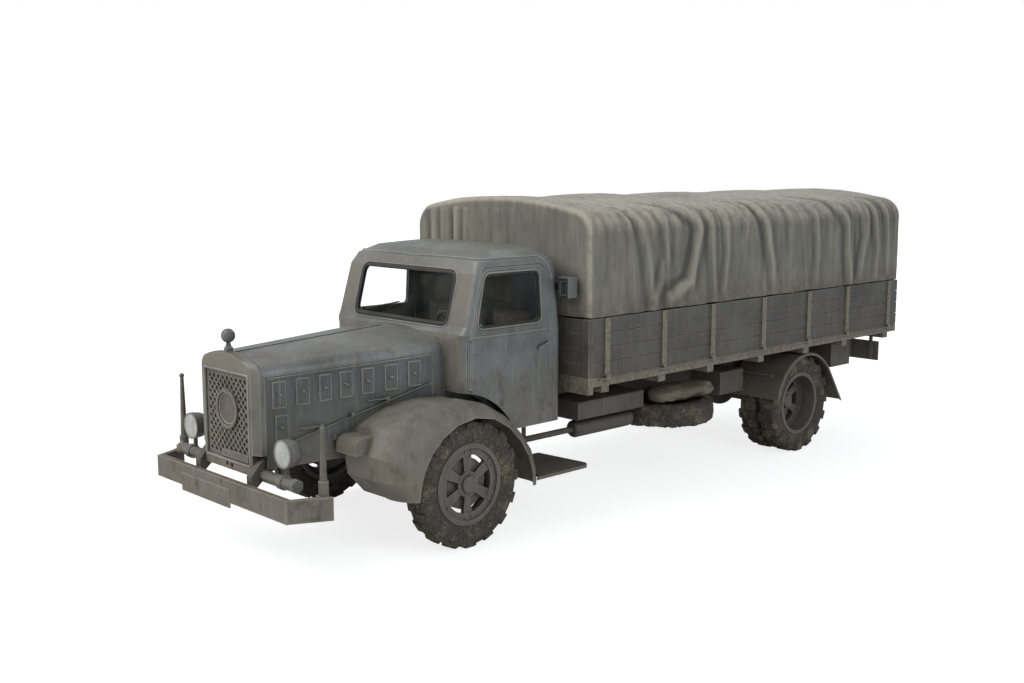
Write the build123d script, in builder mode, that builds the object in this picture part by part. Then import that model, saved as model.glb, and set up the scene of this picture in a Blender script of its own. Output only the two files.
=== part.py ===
from build123d import *
import os
from math import acos, asin, atan2, cos, degrees, hypot, radians, sin, sqrt

os.makedirs("parts", exist_ok=True)

# A cargo truck: ladder frame, long bonnet, all-steel cab and a drop-side bed under a tarpaulin.
# Millimetres. +X forward, +Y the truck's left, +Z up, origin on the ground under the middle
# of the truck's box. Lengths along the truck are set out from the front axle.

# ---- driving dimensions -------------------------------------------------------------------
WHEELBASE = 4600
FRONT_OVERHANG = 1606
REAR_OVERHANG = 1774
FRONT_AXLE_X = (FRONT_OVERHANG + WHEELBASE + REAR_OVERHANG) / 2 - FRONT_OVERHANG
REAR_AXLE_X = FRONT_AXLE_X - WHEELBASE
REAR_END_X = REAR_AXLE_X - REAR_OVERHANG

MOVE_CLEAR = 5          # moving panels to what is fixed
PIN_CLEAR = 0.4         # pins, spindles and rod ends, on the radius
SOFT_CLEAR = 0.4        # cloth and cushions to their seats

# wheels
TYRE_RADIUS = 506
TYRE_WIDTH = 204
LUG_DEPTH = 17
LUGS_ROUND = 16
RIM_RADIUS = 300
FLANGE_RADIUS = 322
SPOKES = 6
FRONT_WHEEL_Y = 943
REAR_OUTER_WHEEL_Y = 930
REAR_INNER_WHEEL_Y = 698
DRUM_RADIUS = 205
SPINDLE_RADIUS = 32
REAR_SPINDLE_RADIUS = 42

# frame and running gear
RAIL_OUTER_Y = 400
RAIL_HEIGHT = 170
RAIL_FLANGE = 65
RAIL_GAUGE = 8
RAIL_TOP_Z = 930
RAIL_BOTTOM_Z = RAIL_TOP_Z - RAIL_HEIGHT
RAIL_FRONT_X = FRONT_AXLE_X + 1400
KINGPIN_Y = 745
KINGPIN_RADIUS = 20
STEER_ARM = 200
TIE_ROD_Z = 405

# bonnet: the side plane widens to the rear, the bead and the crown rise to the rear
HOOD_FRONT_X = FRONT_AXLE_X + 1425
HOOD_REAR_X = FRONT_AXLE_X + 30
HOOD_SIDE_FRONT_Y = 420
HOOD_SIDE_REAR_Y = 618
BEAD_FRONT_Z = 1444
BEAD_REAR_Z = 1495
CROWN_FRONT_Z = 1583
CROWN_REAR_Z = 1662
HOOD_BOTTOM_Z = 770
HOOD_GAUGE = 8
SHOULDER_RADIUS = 93
SHOULDER_TURN = 74.6

# cab
CAB_WALL = 32
CAB_HALF_WIDTH = 888
CAB_BOTTOM_Z = 830
CAB_REAR_X = FRONT_AXLE_X - 1150
FENDER_INNER_Y = 620
FENDER_OUTER_Y = 1100
FENDER_CREST = 640      # least radius of the front mudguard's crown about the wheel
ARCH_RADIUS = 684       # radius of the cab's and the door's edge over the mudguard

# bed
BED_FRONT_X = FRONT_AXLE_X - 1245
BED_HALF_WIDTH = 1125
FLOOR_TOP_Z = 1180
BOARD_TOP_Z = 1688
GATE_OUTER_Y = 1112
GATE_THICK = 36
GATE_HINGE_Y = 1131
GATE_HINGE_Z = 1172
STRAP_PROUD = 18
HEM_Z = 1700
TARP_TOP_Z = 2690
TARP_SHOULDER_Z = 2640
TARP_GAUGE = 12
BOW_RADIUS = 15


def hood_y(x):
    """Half width of the bonnet's side plane at x."""
    share = (HOOD_FRONT_X - x) / (HOOD_FRONT_X - HOOD_REAR_X)
    return HOOD_SIDE_FRONT_Y + share * (HOOD_SIDE_REAR_Y - HOOD_SIDE_FRONT_Y)


def bead_z(x):
    """Height of the bead between the bonnet's top and its side at x."""
    share = (HOOD_FRONT_X - x) / (HOOD_FRONT_X - HOOD_REAR_X)
    return BEAD_FRONT_Z + share * (BEAD_REAR_Z - BEAD_FRONT_Z)


def crown_z(x):
    """Height of the bonnet's centre seam at x."""
    share = (HOOD_FRONT_X - x) / (HOOD_FRONT_X - HOOD_REAR_X)
    return CROWN_FRONT_Z + share * (CROWN_REAR_Z - CROWN_FRONT_Z)


def top_arc(half, side_z, crown, radius, turn=SHOULDER_TURN):
    """Points of a crowned top: bead, shoulder middle, shoulder end, top middle, centre."""
    middle = radians(turn / 2)
    end = radians(turn)
    bead = (half, side_z)
    shoulder_middle = (half - radius * (1 - cos(middle)), side_z + radius * sin(middle))
    shoulder_end = (half - radius * (1 - cos(end)), side_z + radius * sin(end))
    rise = crown - shoulder_end[1]
    big = (shoulder_end[0] ** 2 + rise ** 2) / (2 * rise)
    sweep = asin(shoulder_end[0] / big) / 2
    top_middle = (big * sin(sweep), crown - big * (1 - cos(sweep)))
    return bead, shoulder_middle, shoulder_end, top_middle, (0, crown)


def wheel_place(x, y, side):
    """Plane at a wheel's middle: its Z is the axle, pointing outward."""
    return Plane(origin=(x, side * y, TYRE_RADIUS), x_dir=(1, 0, 0), z_dir=(0, side, 0))


# ---- one tyre about Z: bulged walls, a flat tread and block lugs that wrap the shoulders ---
HALF_TYRE = TYRE_WIDTH / 2
BEAD_OUT = 0.70 * HALF_TYRE
TREAD_RADIUS = TYRE_RADIUS - LUG_DEPTH
TREAD_OUT = 0.74 * HALF_TYRE
SHOULDER_OUT = 0.94 * HALF_TYRE
SHOULDER_DROP = 34
WALL_RADIUS = FLANGE_RADIUS + 72
LUG_LENGTH = 88
LUG_GAP = 7

with BuildPart() as lug:
    with BuildSketch(Plane.XZ):
        with BuildLine():
            Polyline((TREAD_RADIUS - 8, LUG_GAP), (TYRE_RADIUS, LUG_GAP), (TYRE_RADIUS, TREAD_OUT),
                     (TYRE_RADIUS - SHOULDER_DROP / 2, HALF_TYRE),
                     (TREAD_RADIUS - SHOULDER_DROP - 20, HALF_TYRE),
                     (TREAD_RADIUS - SHOULDER_DROP - 20, TREAD_OUT), close=True)
        make_face()
    extrude(amount=LUG_LENGTH / 2, both=True)

with BuildPart() as plain_tyre:
    with BuildSketch(Plane.XZ):
        with BuildLine():
            Polyline((FLANGE_RADIUS, BEAD_OUT), (RIM_RADIUS, BEAD_OUT), (RIM_RADIUS, -BEAD_OUT),
                     (FLANGE_RADIUS, -BEAD_OUT))
            ThreePointArc((FLANGE_RADIUS, -BEAD_OUT), (WALL_RADIUS, -HALF_TYRE),
                          (TREAD_RADIUS - SHOULDER_DROP, -SHOULDER_OUT))
            Polyline((TREAD_RADIUS - SHOULDER_DROP, -SHOULDER_OUT), (TREAD_RADIUS, -TREAD_OUT),
                     (TREAD_RADIUS, TREAD_OUT), (TREAD_RADIUS - SHOULDER_DROP, SHOULDER_OUT))
            ThreePointArc((TREAD_RADIUS - SHOULDER_DROP, SHOULDER_OUT), (WALL_RADIUS, HALF_TYRE),
                          (FLANGE_RADIUS, BEAD_OUT))
        make_face()
    revolve(axis=Axis.Z)

with BuildPart() as lugged_tyre:
    add(plain_tyre.part)
    with PolarLocations(0, LUGS_ROUND):
        add(lug.part)
    with PolarLocations(0, LUGS_ROUND, start_angle=180 / LUGS_ROUND):
        add(lug.part.mirror(Plane.XY))

# ---- wheels about Z: a rolled rim, a cast six-spoke spider, the hub and the brake drum -----
RIM_GAUGE = 12
FLANGE_OUT = BEAD_OUT + 9
SPIDER_RING_RADIUS = 292
SPIDER_INNER_RADIUS = 232
HUB_RADIUS = 100
HUB_CAP_RADIUS = 72
SPOKE_THICK = 34
DRUM_WALL = 14


def rim_ring(out):
    """A rim's barrel with its two flanges, centred at out along the axle."""
    for low, high, outer in ((-FLANGE_OUT, -BEAD_OUT - 0.5, FLANGE_RADIUS),
                             (-BEAD_OUT - 0.5, BEAD_OUT + 0.5, RIM_RADIUS - 0.5),
                             (BEAD_OUT + 0.5, FLANGE_OUT, FLANGE_RADIUS)):
        with BuildSketch(Plane.XY.offset(out + low)) as ring:
            Circle(outer)
            Circle(RIM_RADIUS - RIM_GAUGE, mode=Mode.SUBTRACT)
        extrude(ring.sketch, amount=high - low)


def spider(face):
    """Ring, tapered spokes and hub disc whose outer face is at face along the axle."""
    with BuildSketch(Plane.XY.offset(face - SPOKE_THICK)) as ring:
        Circle(SPIDER_RING_RADIUS)
        Circle(SPIDER_INNER_RADIUS, mode=Mode.SUBTRACT)
    extrude(ring.sketch, amount=SPOKE_THICK + 10)
    with BuildSketch(Plane.XY.offset(face - SPOKE_THICK)) as arms:
        with PolarLocations(0, SPOKES, start_angle=90):
            Polygon((HUB_RADIUS - 20, -26), (SPIDER_INNER_RADIUS + 12, -44),
                    (SPIDER_INNER_RADIUS + 12, 44), (HUB_RADIUS - 20, 26), align=None)
    extrude(arms.sketch, amount=SPOKE_THICK)


FRONT_FACE = 52
FRONT_HUB_IN = -78
FRONT_DRUM_IN = -122
FRONT_BORE_END = 62
with BuildPart() as front_wheel:
    rim_ring(0)
    spider(FRONT_FACE)
    with BuildSketch(Plane.XY.offset(FRONT_HUB_IN)):
        Circle(HUB_RADIUS)
    extrude(amount=FRONT_FACE + 8 - FRONT_HUB_IN)
    with BuildSketch(Plane.XY.offset(FRONT_FACE)):
        Circle(HUB_CAP_RADIUS)
    extrude(amount=38)
    fillet(faces().sort_by(Axis.Z)[-1].edges(), 16)
    with BuildSketch(Plane.XY.offset(FRONT_DRUM_IN)):
        Circle(DRUM_RADIUS)
    extrude(amount=FRONT_FACE - SPOKE_THICK - FRONT_DRUM_IN)
    with BuildSketch(Plane.XY.offset(FRONT_DRUM_IN)):
        Circle(DRUM_RADIUS - DRUM_WALL)
        Circle(HUB_RADIUS, mode=Mode.SUBTRACT)
    extrude(amount=FRONT_FACE - SPOKE_THICK - FRONT_DRUM_IN - DRUM_WALL, mode=Mode.SUBTRACT)
    with BuildSketch(Plane.XY.offset(FRONT_DRUM_IN)):
        Circle(SPINDLE_RADIUS + PIN_CLEAR)
    extrude(amount=FRONT_BORE_END - FRONT_DRUM_IN, mode=Mode.SUBTRACT)

DUAL_MIDDLE = (REAR_OUTER_WHEEL_Y - REAR_INNER_WHEEL_Y) / 2
REAR_FACE = 10
REAR_DRUM_IN = -188
REAR_BORE_END = 26
with BuildPart() as rear_wheel:
    rim_ring(DUAL_MIDDLE)
    rim_ring(-DUAL_MIDDLE)
    spider(REAR_FACE)
    with BuildSketch(Plane.XY.offset(FLANGE_OUT - DUAL_MIDDLE - 2)):
        Circle(RIM_RADIUS - RIM_GAUGE + 4)
        Circle(RIM_RADIUS - 2 * RIM_GAUGE, mode=Mode.SUBTRACT)
    extrude(amount=2 * (DUAL_MIDDLE - FLANGE_OUT) + 4)
    with BuildSketch(Plane.XY.offset(REAR_DRUM_IN)):
        Circle(DRUM_RADIUS)
    extrude(amount=REAR_FACE - SPOKE_THICK - REAR_DRUM_IN)
    with BuildSketch(Plane.XY.offset(REAR_DRUM_IN)):
        Circle(DRUM_RADIUS - DRUM_WALL)
        Circle(HUB_RADIUS, mode=Mode.SUBTRACT)
    extrude(amount=REAR_FACE - SPOKE_THICK - REAR_DRUM_IN - DRUM_WALL, mode=Mode.SUBTRACT)
    with BuildSketch(Plane.XY.offset(REAR_FACE - SPOKE_THICK)):
        Circle(HUB_RADIUS)
    extrude(amount=SPOKE_THICK + 24)
    with BuildSketch(Plane.XY.offset(REAR_FACE)):
        Circle(HUB_CAP_RADIUS)
    extrude(amount=58)
    fillet(edges().filter_by_position(Axis.Z, REAR_FACE + 57, REAR_FACE + 59), 16)
    with BuildSketch(Plane.XY.offset(REAR_DRUM_IN)):
        Circle(REAR_SPINDLE_RADIUS + PIN_CLEAR)
    extrude(amount=REAR_BORE_END - REAR_DRUM_IN, mode=Mode.SUBTRACT)

REAR_WHEEL_Y = (REAR_OUTER_WHEEL_Y + REAR_INNER_WHEEL_Y) / 2
# name, tyre blank, wheel blank, axle x, middle y of the tyres, side
for name, axle_x, tyre_rows, wheel_blank, wheel_y, side in (
    ("front_left", FRONT_AXLE_X, (FRONT_WHEEL_Y,), front_wheel, FRONT_WHEEL_Y, 1),
    ("front_right", FRONT_AXLE_X, (FRONT_WHEEL_Y,), front_wheel, FRONT_WHEEL_Y, -1),
    ("rear_left", REAR_AXLE_X, (REAR_OUTER_WHEEL_Y, REAR_INNER_WHEEL_Y), rear_wheel,
     REAR_WHEEL_Y, 1),
    ("rear_right", REAR_AXLE_X, (REAR_OUTER_WHEEL_Y, REAR_INNER_WHEEL_Y), rear_wheel,
     REAR_WHEEL_Y, -1),
):
    with BuildPart() as tyres:
        for tyre_y in tyre_rows:
            with Locations(wheel_place(axle_x, tyre_y, side)):
                add(lugged_tyre.part)
    tyres.part.label = name + "_tyre"
    export_step(tyres.part, "parts/" + name + "_tyre.step")
    with BuildPart() as wheel:
        with Locations(wheel_place(axle_x, wheel_y, side)):
            add(wheel_blank.part)
    wheel.part.label = name + "_wheel"
    export_step(wheel.part, "parts/" + name + "_wheel.step")

# ---- chassis frame: two channel rails with front horns and spring hangers -------------------
FRONT_SPRING_HALF = 600
REAR_SPRING_HALF = 660
SPRING_WIDTH = 62
SPRING_Y = RAIL_OUTER_Y - SPRING_WIDTH / 2
LEAF_GAUGE = 11
SPRING_EYE_RADIUS = 26
FRONT_EYE_Z = 700
REAR_EYE_Z = 716
HANGER_LENGTH = 70
CROSS_WIDTH = 90
CROSS_HEIGHT = 120
CROSS_X = (FRONT_AXLE_X + 1180, FRONT_AXLE_X - 950, FRONT_AXLE_X - 1900, FRONT_AXLE_X - 2560,
           REAR_AXLE_X + 780, REAR_AXLE_X - 780)
RAIL_REAR_X = REAR_END_X + 120
REAR_MEMBER_GAUGE = 24
HITCH_PLATE_Z = 845
HITCH_BORE_RADIUS = 21
HITCH_JAW_GAP = 60
PLATE_RAISED = 6
BUMPER_X = FRONT_AXLE_X + FRONT_OVERHANG - PLATE_RAISED
BUMPER_TOP_Z = 670
BUMPER_BOTTOM_Z = 500
BUMPER_WEB = 8
BUMPER_BACK_X = BUMPER_X - BUMPER_WEB
BUMPER_FLANGE = 48
# axle x, half length of the spring, height of its eyes
SPRINGS = ((FRONT_AXLE_X, FRONT_SPRING_HALF, FRONT_EYE_Z),
           (REAR_AXLE_X, REAR_SPRING_HALF, REAR_EYE_Z))

with BuildPart() as chassis_frame:
    with BuildSketch(Plane.YZ.offset(RAIL_REAR_X + REAR_MEMBER_GAUGE)):
        with Locations((RAIL_OUTER_Y, RAIL_BOTTOM_Z)):
            Rectangle(RAIL_FLANGE, RAIL_HEIGHT, align=(Align.MAX, Align.MIN))
        with Locations((RAIL_OUTER_Y - RAIL_GAUGE, RAIL_BOTTOM_Z + RAIL_GAUGE)):
            Rectangle(RAIL_FLANGE, RAIL_HEIGHT - 2 * RAIL_GAUGE, align=(Align.MAX, Align.MIN),
                      mode=Mode.SUBTRACT)
    extrude(amount=RAIL_FRONT_X - RAIL_REAR_X - REAR_MEMBER_GAUGE)
    # dumb iron: the rail's curved nose that drops to the back of the bumper
    with BuildSketch(Plane.XZ.offset(-RAIL_OUTER_Y)):
        with BuildLine():
            Polyline((RAIL_FRONT_X - 60, RAIL_TOP_Z), (RAIL_FRONT_X - 60, RAIL_BOTTOM_Z))
            ThreePointArc((RAIL_FRONT_X - 60, RAIL_BOTTOM_Z),
                          (RAIL_FRONT_X + 60, RAIL_BOTTOM_Z - 80),
                          (BUMPER_BACK_X, BUMPER_BOTTOM_Z + 40))
            Line((BUMPER_BACK_X, BUMPER_BOTTOM_Z + 40), (BUMPER_BACK_X, BUMPER_TOP_Z))
            ThreePointArc((BUMPER_BACK_X, BUMPER_TOP_Z),
                          (RAIL_FRONT_X + 70, RAIL_BOTTOM_Z + 60),
                          (RAIL_FRONT_X - 60, RAIL_TOP_Z))
        make_face()
    extrude(amount=RAIL_FLANGE)
    with Locations((BUMPER_BACK_X + 8, RAIL_OUTER_Y, BUMPER_TOP_Z - BUMPER_WEB - 0.3)):
        Box(BUMPER_FLANGE + 2, 3 * RAIL_FLANGE, 200, align=(Align.MAX, Align.CENTER, Align.MIN),
            mode=Mode.SUBTRACT)
    for axle_x, half, eye_z in SPRINGS:
        with Locations((axle_x - half, SPRING_Y, eye_z + SPRING_EYE_RADIUS + PIN_CLEAR),
                       (axle_x + half, SPRING_Y, eye_z + SPRING_EYE_RADIUS + PIN_CLEAR)):
            Box(HANGER_LENGTH, SPRING_WIDTH, RAIL_BOTTOM_Z - eye_z - SPRING_EYE_RADIUS + 4,
                align=(Align.CENTER, Align.CENTER, Align.MIN))
    mirror(about=Plane.XZ)
chassis_frame.part.label = "chassis_frame"
export_step(chassis_frame.part, "parts/chassis_frame.step")

# ---- cross members: six beams between the rails' webs, and a plate across the rails' ends
# with the jaws of the towing pin ------------------------------------------------------------
with BuildPart() as cross_members:
    with Locations(*[(x, 0, RAIL_TOP_Z - 25) for x in CROSS_X]):
        Box(CROSS_WIDTH, 2 * (RAIL_OUTER_Y - RAIL_GAUGE), CROSS_HEIGHT,
            align=(Align.CENTER, Align.CENTER, Align.MAX))
    with Locations((RAIL_REAR_X, 0, (RAIL_TOP_Z + RAIL_BOTTOM_Z) / 2)):
        Box(REAR_MEMBER_GAUGE, 2 * RAIL_OUTER_Y, RAIL_HEIGHT,
            align=(Align.MIN, Align.CENTER, Align.CENTER))
    for jaw in (-1, 1):
        with Locations((RAIL_REAR_X + 10, 0, HITCH_PLATE_Z + jaw * (HITCH_JAW_GAP + 24) / 2)):
            Box(110, 120, 24, align=(Align.MAX, Align.CENTER, Align.CENTER))
    with Locations((RAIL_REAR_X - 50, 0, HITCH_PLATE_Z)):
        Cylinder(HITCH_BORE_RADIUS, 3 * HITCH_JAW_GAP, mode=Mode.SUBTRACT)
cross_members.part.label = "cross_members"
export_step(cross_members.part, "parts/cross_members.step")

# ---- leaf springs: six curved leaves, the longest rolled into an eye at each end -----------
LEAVES = 6
SPRING_SAG = 80
AXLE_TOP_Z = 590
with BuildPart() as leaf_springs:
    for axle_x, half, eye_z in SPRINGS:
        for leaf in range(LEAVES):
            reach = half * (1 - 0.15 * leaf)
            low = eye_z - SPRING_SAG - LEAF_GAUGE * leaf
            rise = SPRING_SAG * (reach / half) ** 2
            with BuildSketch(Plane.XZ.offset(-SPRING_Y - SPRING_WIDTH / 2)):
                with BuildLine():
                    ThreePointArc((axle_x - reach, low + rise), (axle_x, low),
                                  (axle_x + reach, low + rise))
                    Line((axle_x + reach, low + rise), (axle_x + reach, low + rise - LEAF_GAUGE))
                    ThreePointArc((axle_x + reach, low + rise - LEAF_GAUGE),
                                  (axle_x, low - LEAF_GAUGE - 0.3),
                                  (axle_x - reach, low + rise - LEAF_GAUGE))
                    Line((axle_x - reach, low + rise - LEAF_GAUGE), (axle_x - reach, low + rise))
                make_face()
            extrude(amount=SPRING_WIDTH)
        for end in (-1, 1):
            with Locations((axle_x + end * half, SPRING_Y, eye_z)):
                Cylinder(SPRING_EYE_RADIUS, SPRING_WIDTH, rotation=(90, 0, 0))
    mirror(about=Plane.XZ)
leaf_springs.part.label = "leaf_springs"
export_step(leaf_springs.part, "parts/leaf_springs.step")
FRONT_SEAT_Z = FRONT_EYE_Z - SPRING_SAG - LEAF_GAUGE * LEAVES - 0.3
REAR_SEAT_Z = REAR_EYE_Z - SPRING_SAG - LEAF_GAUGE * LEAVES - 0.3

# ---- front axle: a dropped I-beam between the king pins ------------------------------------
BEAM_WIDTH = 70
BEAM_DEPTH = 84
KINGPIN_EYE_RADIUS = 38
KINGPIN_EYE_HALF = 55
with BuildPart() as front_axle:
    with BuildSketch(Plane.YZ.offset(FRONT_AXLE_X - BEAM_WIDTH / 2)):
        with BuildLine():
            Polyline((0, FRONT_SEAT_Z - BEAM_DEPTH), (RAIL_OUTER_Y + 60, FRONT_SEAT_Z - BEAM_DEPTH),
                     (KINGPIN_Y, TYRE_RADIUS - KINGPIN_EYE_HALF + 8),
                     (KINGPIN_Y, TYRE_RADIUS + KINGPIN_EYE_HALF - 8),
                     (RAIL_OUTER_Y + 40, FRONT_SEAT_Z), (0, FRONT_SEAT_Z), close=True)
        make_face()
    extrude(amount=BEAM_WIDTH)
    for face_x, out in ((FRONT_AXLE_X - BEAM_WIDTH / 2, 1), (FRONT_AXLE_X + BEAM_WIDTH / 2, -1)):
        with BuildSketch(Plane.YZ.offset(face_x)):
            with Locations((0, FRONT_SEAT_Z - BEAM_DEPTH / 2)):
                Rectangle(2 * RAIL_OUTER_Y, BEAM_DEPTH - 32)
        extrude(amount=out * 26, mode=Mode.SUBTRACT)
    with Locations((FRONT_AXLE_X, KINGPIN_Y, TYRE_RADIUS)):
        Cylinder(KINGPIN_EYE_RADIUS, 2 * KINGPIN_EYE_HALF)
        Cylinder(KINGPIN_RADIUS + PIN_CLEAR, 3 * KINGPIN_EYE_HALF, mode=Mode.SUBTRACT)
    mirror(about=Plane.XZ)
front_axle.part.label = "front_axle"
export_step(front_axle.part, "parts/front_axle.step")

# ---- steering knuckles: fork round the axle's eye, spindle, back plate and steering arm ----
FORK_THICK = 26
FORK_GAP = 0.5
BACK_PLATE_Y = FRONT_WHEEL_Y + FRONT_DRUM_IN - 12
BALL_RADIUS = 15
with BuildPart() as knuckle_blank:
    with Locations((FRONT_AXLE_X, KINGPIN_Y, TYRE_RADIUS)):
        Cylinder(KINGPIN_RADIUS, 2 * (KINGPIN_EYE_HALF + FORK_GAP + FORK_THICK))
    for hand in (-1, 1):
        fork_z = TYRE_RADIUS + hand * (KINGPIN_EYE_HALF + FORK_GAP + FORK_THICK / 2)
        with Locations((FRONT_AXLE_X, KINGPIN_Y, fork_z)):
            Cylinder(KINGPIN_EYE_RADIUS, FORK_THICK)
        with Locations((FRONT_AXLE_X, KINGPIN_Y, fork_z)):
            Box(2 * KINGPIN_EYE_RADIUS - 6, BACK_PLATE_Y - KINGPIN_Y + 2, FORK_THICK,
                align=(Align.CENTER, Align.MIN, Align.CENTER))
    with Locations((FRONT_AXLE_X, KINGPIN_Y + KINGPIN_EYE_RADIUS + 6, TYRE_RADIUS)):
        Box(2 * KINGPIN_EYE_RADIUS - 6, BACK_PLATE_Y - KINGPIN_Y - KINGPIN_EYE_RADIUS - 4,
            2 * (KINGPIN_EYE_HALF + FORK_GAP + FORK_THICK) - 4,
            align=(Align.CENTER, Align.MIN, Align.CENTER))
    with BuildSketch(Plane(origin=(FRONT_AXLE_X, BACK_PLATE_Y, TYRE_RADIUS), z_dir=(0, 1, 0))):
        Circle(DRUM_RADIUS - 2)
    extrude(amount=8)
    with BuildSketch(Plane(origin=(FRONT_AXLE_X, BACK_PLATE_Y, TYRE_RADIUS), z_dir=(0, 1, 0))):
        Circle(SPINDLE_RADIUS)
    extrude(amount=FRONT_WHEEL_Y + FRONT_BORE_END - 2 - BACK_PLATE_Y)
    # steering arm: straight back from the lower fork, with a ball stud at its end
    with Locations((FRONT_AXLE_X, KINGPIN_Y, TYRE_RADIUS - KINGPIN_EYE_HALF - FORK_GAP - FORK_THICK / 2)):
        Box(STEER_ARM, 34, FORK_THICK - 4, align=(Align.MAX, Align.CENTER, Align.CENTER))
    with Locations((FRONT_AXLE_X - STEER_ARM, KINGPIN_Y,
                    TYRE_RADIUS - KINGPIN_EYE_HALF - FORK_GAP - FORK_THICK / 2)):
        Cylinder(22, FORK_THICK - 4)
    with Locations((FRONT_AXLE_X - STEER_ARM, KINGPIN_Y, TIE_ROD_Z - 16)):
        Cylinder(BALL_RADIUS - 4, TYRE_RADIUS - KINGPIN_EYE_HALF - FORK_GAP - FORK_THICK - TIE_ROD_Z + 20,
                 align=(Align.CENTER, Align.CENTER, Align.MIN))
for name, side in (("left_knuckle", 1), ("right_knuckle", -1)):
    with BuildPart() as knuckle:
        if side > 0:
            add(knuckle_blank.part)
        else:
            mirror(knuckle_blank.part, about=Plane.XZ)
    knuckle.part.label = name
    export_step(knuckle.part, "parts/" + name + ".step")

# ---- tie rod behind the axle, an eye on each ball stud -------------------------------------
TIE_ROD_RADIUS = 17
with BuildPart() as tie_rod:
    with Locations((FRONT_AXLE_X - STEER_ARM, 0, TIE_ROD_Z)):
        Cylinder(TIE_ROD_RADIUS, 2 * KINGPIN_Y - 30, rotation=(90, 0, 0))
    for side in (-1, 1):
        with Locations((FRONT_AXLE_X - STEER_ARM, side * KINGPIN_Y, TIE_ROD_Z)):
            Cylinder(26, 28)
    for side in (-1, 1):
        with Locations((FRONT_AXLE_X - STEER_ARM, side * KINGPIN_Y, TIE_ROD_Z)):
            Cylinder(BALL_RADIUS - 4 + PIN_CLEAR, 60, mode=Mode.SUBTRACT)
tie_rod.part.label = "tie_rod"
export_step(tie_rod.part, "parts/tie_rod.step")

# ---- rear axle: tube, banjo housing, brake plates and spindles -----------------------------
REAR_TUBE_RADIUS = 62
BANJO_RADIUS = 205
PINION_NOSE = 290
YOKE_RADIUS = 58
REAR_BACK_Y = REAR_WHEEL_Y + REAR_DRUM_IN - 12
YOKE_LENGTH = 60
SHAFT_RADIUS = 45
SHAFT_FRONT_Z = 730
GEARBOX_REAR_X = FRONT_AXLE_X - 780
shaft_start = Vector(GEARBOX_REAR_X - YOKE_LENGTH / 2, 0, SHAFT_FRONT_Z)
shaft_end = Vector(REAR_AXLE_X + PINION_NOSE + YOKE_LENGTH / 2 - 1, 0, TYRE_RADIUS)
with BuildPart() as rear_axle:
    with BuildSketch(Plane(origin=(REAR_AXLE_X, 0, TYRE_RADIUS), z_dir=(0, 1, 0))):
        Circle(REAR_TUBE_RADIUS)
    extrude(amount=REAR_BACK_Y)
    with BuildSketch(Plane(origin=(REAR_AXLE_X, REAR_BACK_Y, TYRE_RADIUS), z_dir=(0, 1, 0))):
        Circle(DRUM_RADIUS - 2)
    extrude(amount=8)
    with BuildSketch(Plane(origin=(REAR_AXLE_X, REAR_BACK_Y, TYRE_RADIUS), z_dir=(0, 1, 0))):
        Circle(REAR_SPINDLE_RADIUS)
    extrude(amount=REAR_WHEEL_Y + REAR_BORE_END - 2 - REAR_BACK_Y)
    with Locations((REAR_AXLE_X, SPRING_Y, TYRE_RADIUS)):
        Box(150, SPRING_WIDTH + 20, REAR_SEAT_Z - TYRE_RADIUS,
            align=(Align.CENTER, Align.CENTER, Align.MIN))
    mirror(about=Plane.XZ)
    with BuildSketch(Plane.XY.offset(TYRE_RADIUS)):
        with BuildLine():
            Line((REAR_AXLE_X + BANJO_RADIUS, 0), (REAR_AXLE_X - BANJO_RADIUS + 20, 0))
            ThreePointArc((REAR_AXLE_X - BANJO_RADIUS + 20, 0), (REAR_AXLE_X, 150),
                          (REAR_AXLE_X + BANJO_RADIUS, 0))
        make_face()
    revolve(axis=Axis((REAR_AXLE_X, 0, TYRE_RADIUS), (1, 0, 0)))
    with BuildSketch(Plane.YZ.offset(REAR_AXLE_X)):
        with Locations((0, TYRE_RADIUS)):
            Circle(YOKE_RADIUS + 12)
    extrude(amount=PINION_NOSE)
    # propeller shaft up to the gearbox, a yoke at each end
    with BuildSketch(Plane(origin=shaft_start, z_dir=shaft_end - shaft_start)):
        Circle(SHAFT_RADIUS)
    extrude(amount=(shaft_end - shaft_start).length)
    for yoke in (shaft_start, shaft_end):
        with Locations(yoke):
            Cylinder(YOKE_RADIUS, YOKE_LENGTH, rotation=(0, 90, 0))
rear_axle.part.label = "rear_axle"
export_step(rear_axle.part, "parts/rear_axle.step")

# ---- engine and gearbox as one plain block -------------------------------------------------
ENGINE_FRONT_X = FRONT_AXLE_X + 1120
ENGINE_REAR_X = FRONT_AXLE_X + 80
with BuildPart() as engine_block:
    with Locations(((ENGINE_FRONT_X + ENGINE_REAR_X) / 2, 0, 690)):
        Box(ENGINE_FRONT_X - ENGINE_REAR_X, 460, 620, align=(Align.CENTER, Align.CENTER, Align.MIN))
    with Locations(((ENGINE_REAR_X + GEARBOX_REAR_X) / 2, 0, 640)):
        Box(ENGINE_REAR_X - GEARBOX_REAR_X, 300, 180, align=(Align.CENTER, Align.CENTER, Align.MIN))
    # mounting feet on the rails' inner flanges
    for foot_x in (ENGINE_FRONT_X - 200, ENGINE_REAR_X + 150):
        with Locations((foot_x, 0, RAIL_BOTTOM_Z + RAIL_GAUGE)):
            Box(90, 2 * (RAIL_OUTER_Y - RAIL_GAUGE), 30,
                align=(Align.CENTER, Align.CENTER, Align.MIN))
engine_block.part.label = "engine_block"
export_step(engine_block.part, "parts/engine_block.step")

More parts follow.
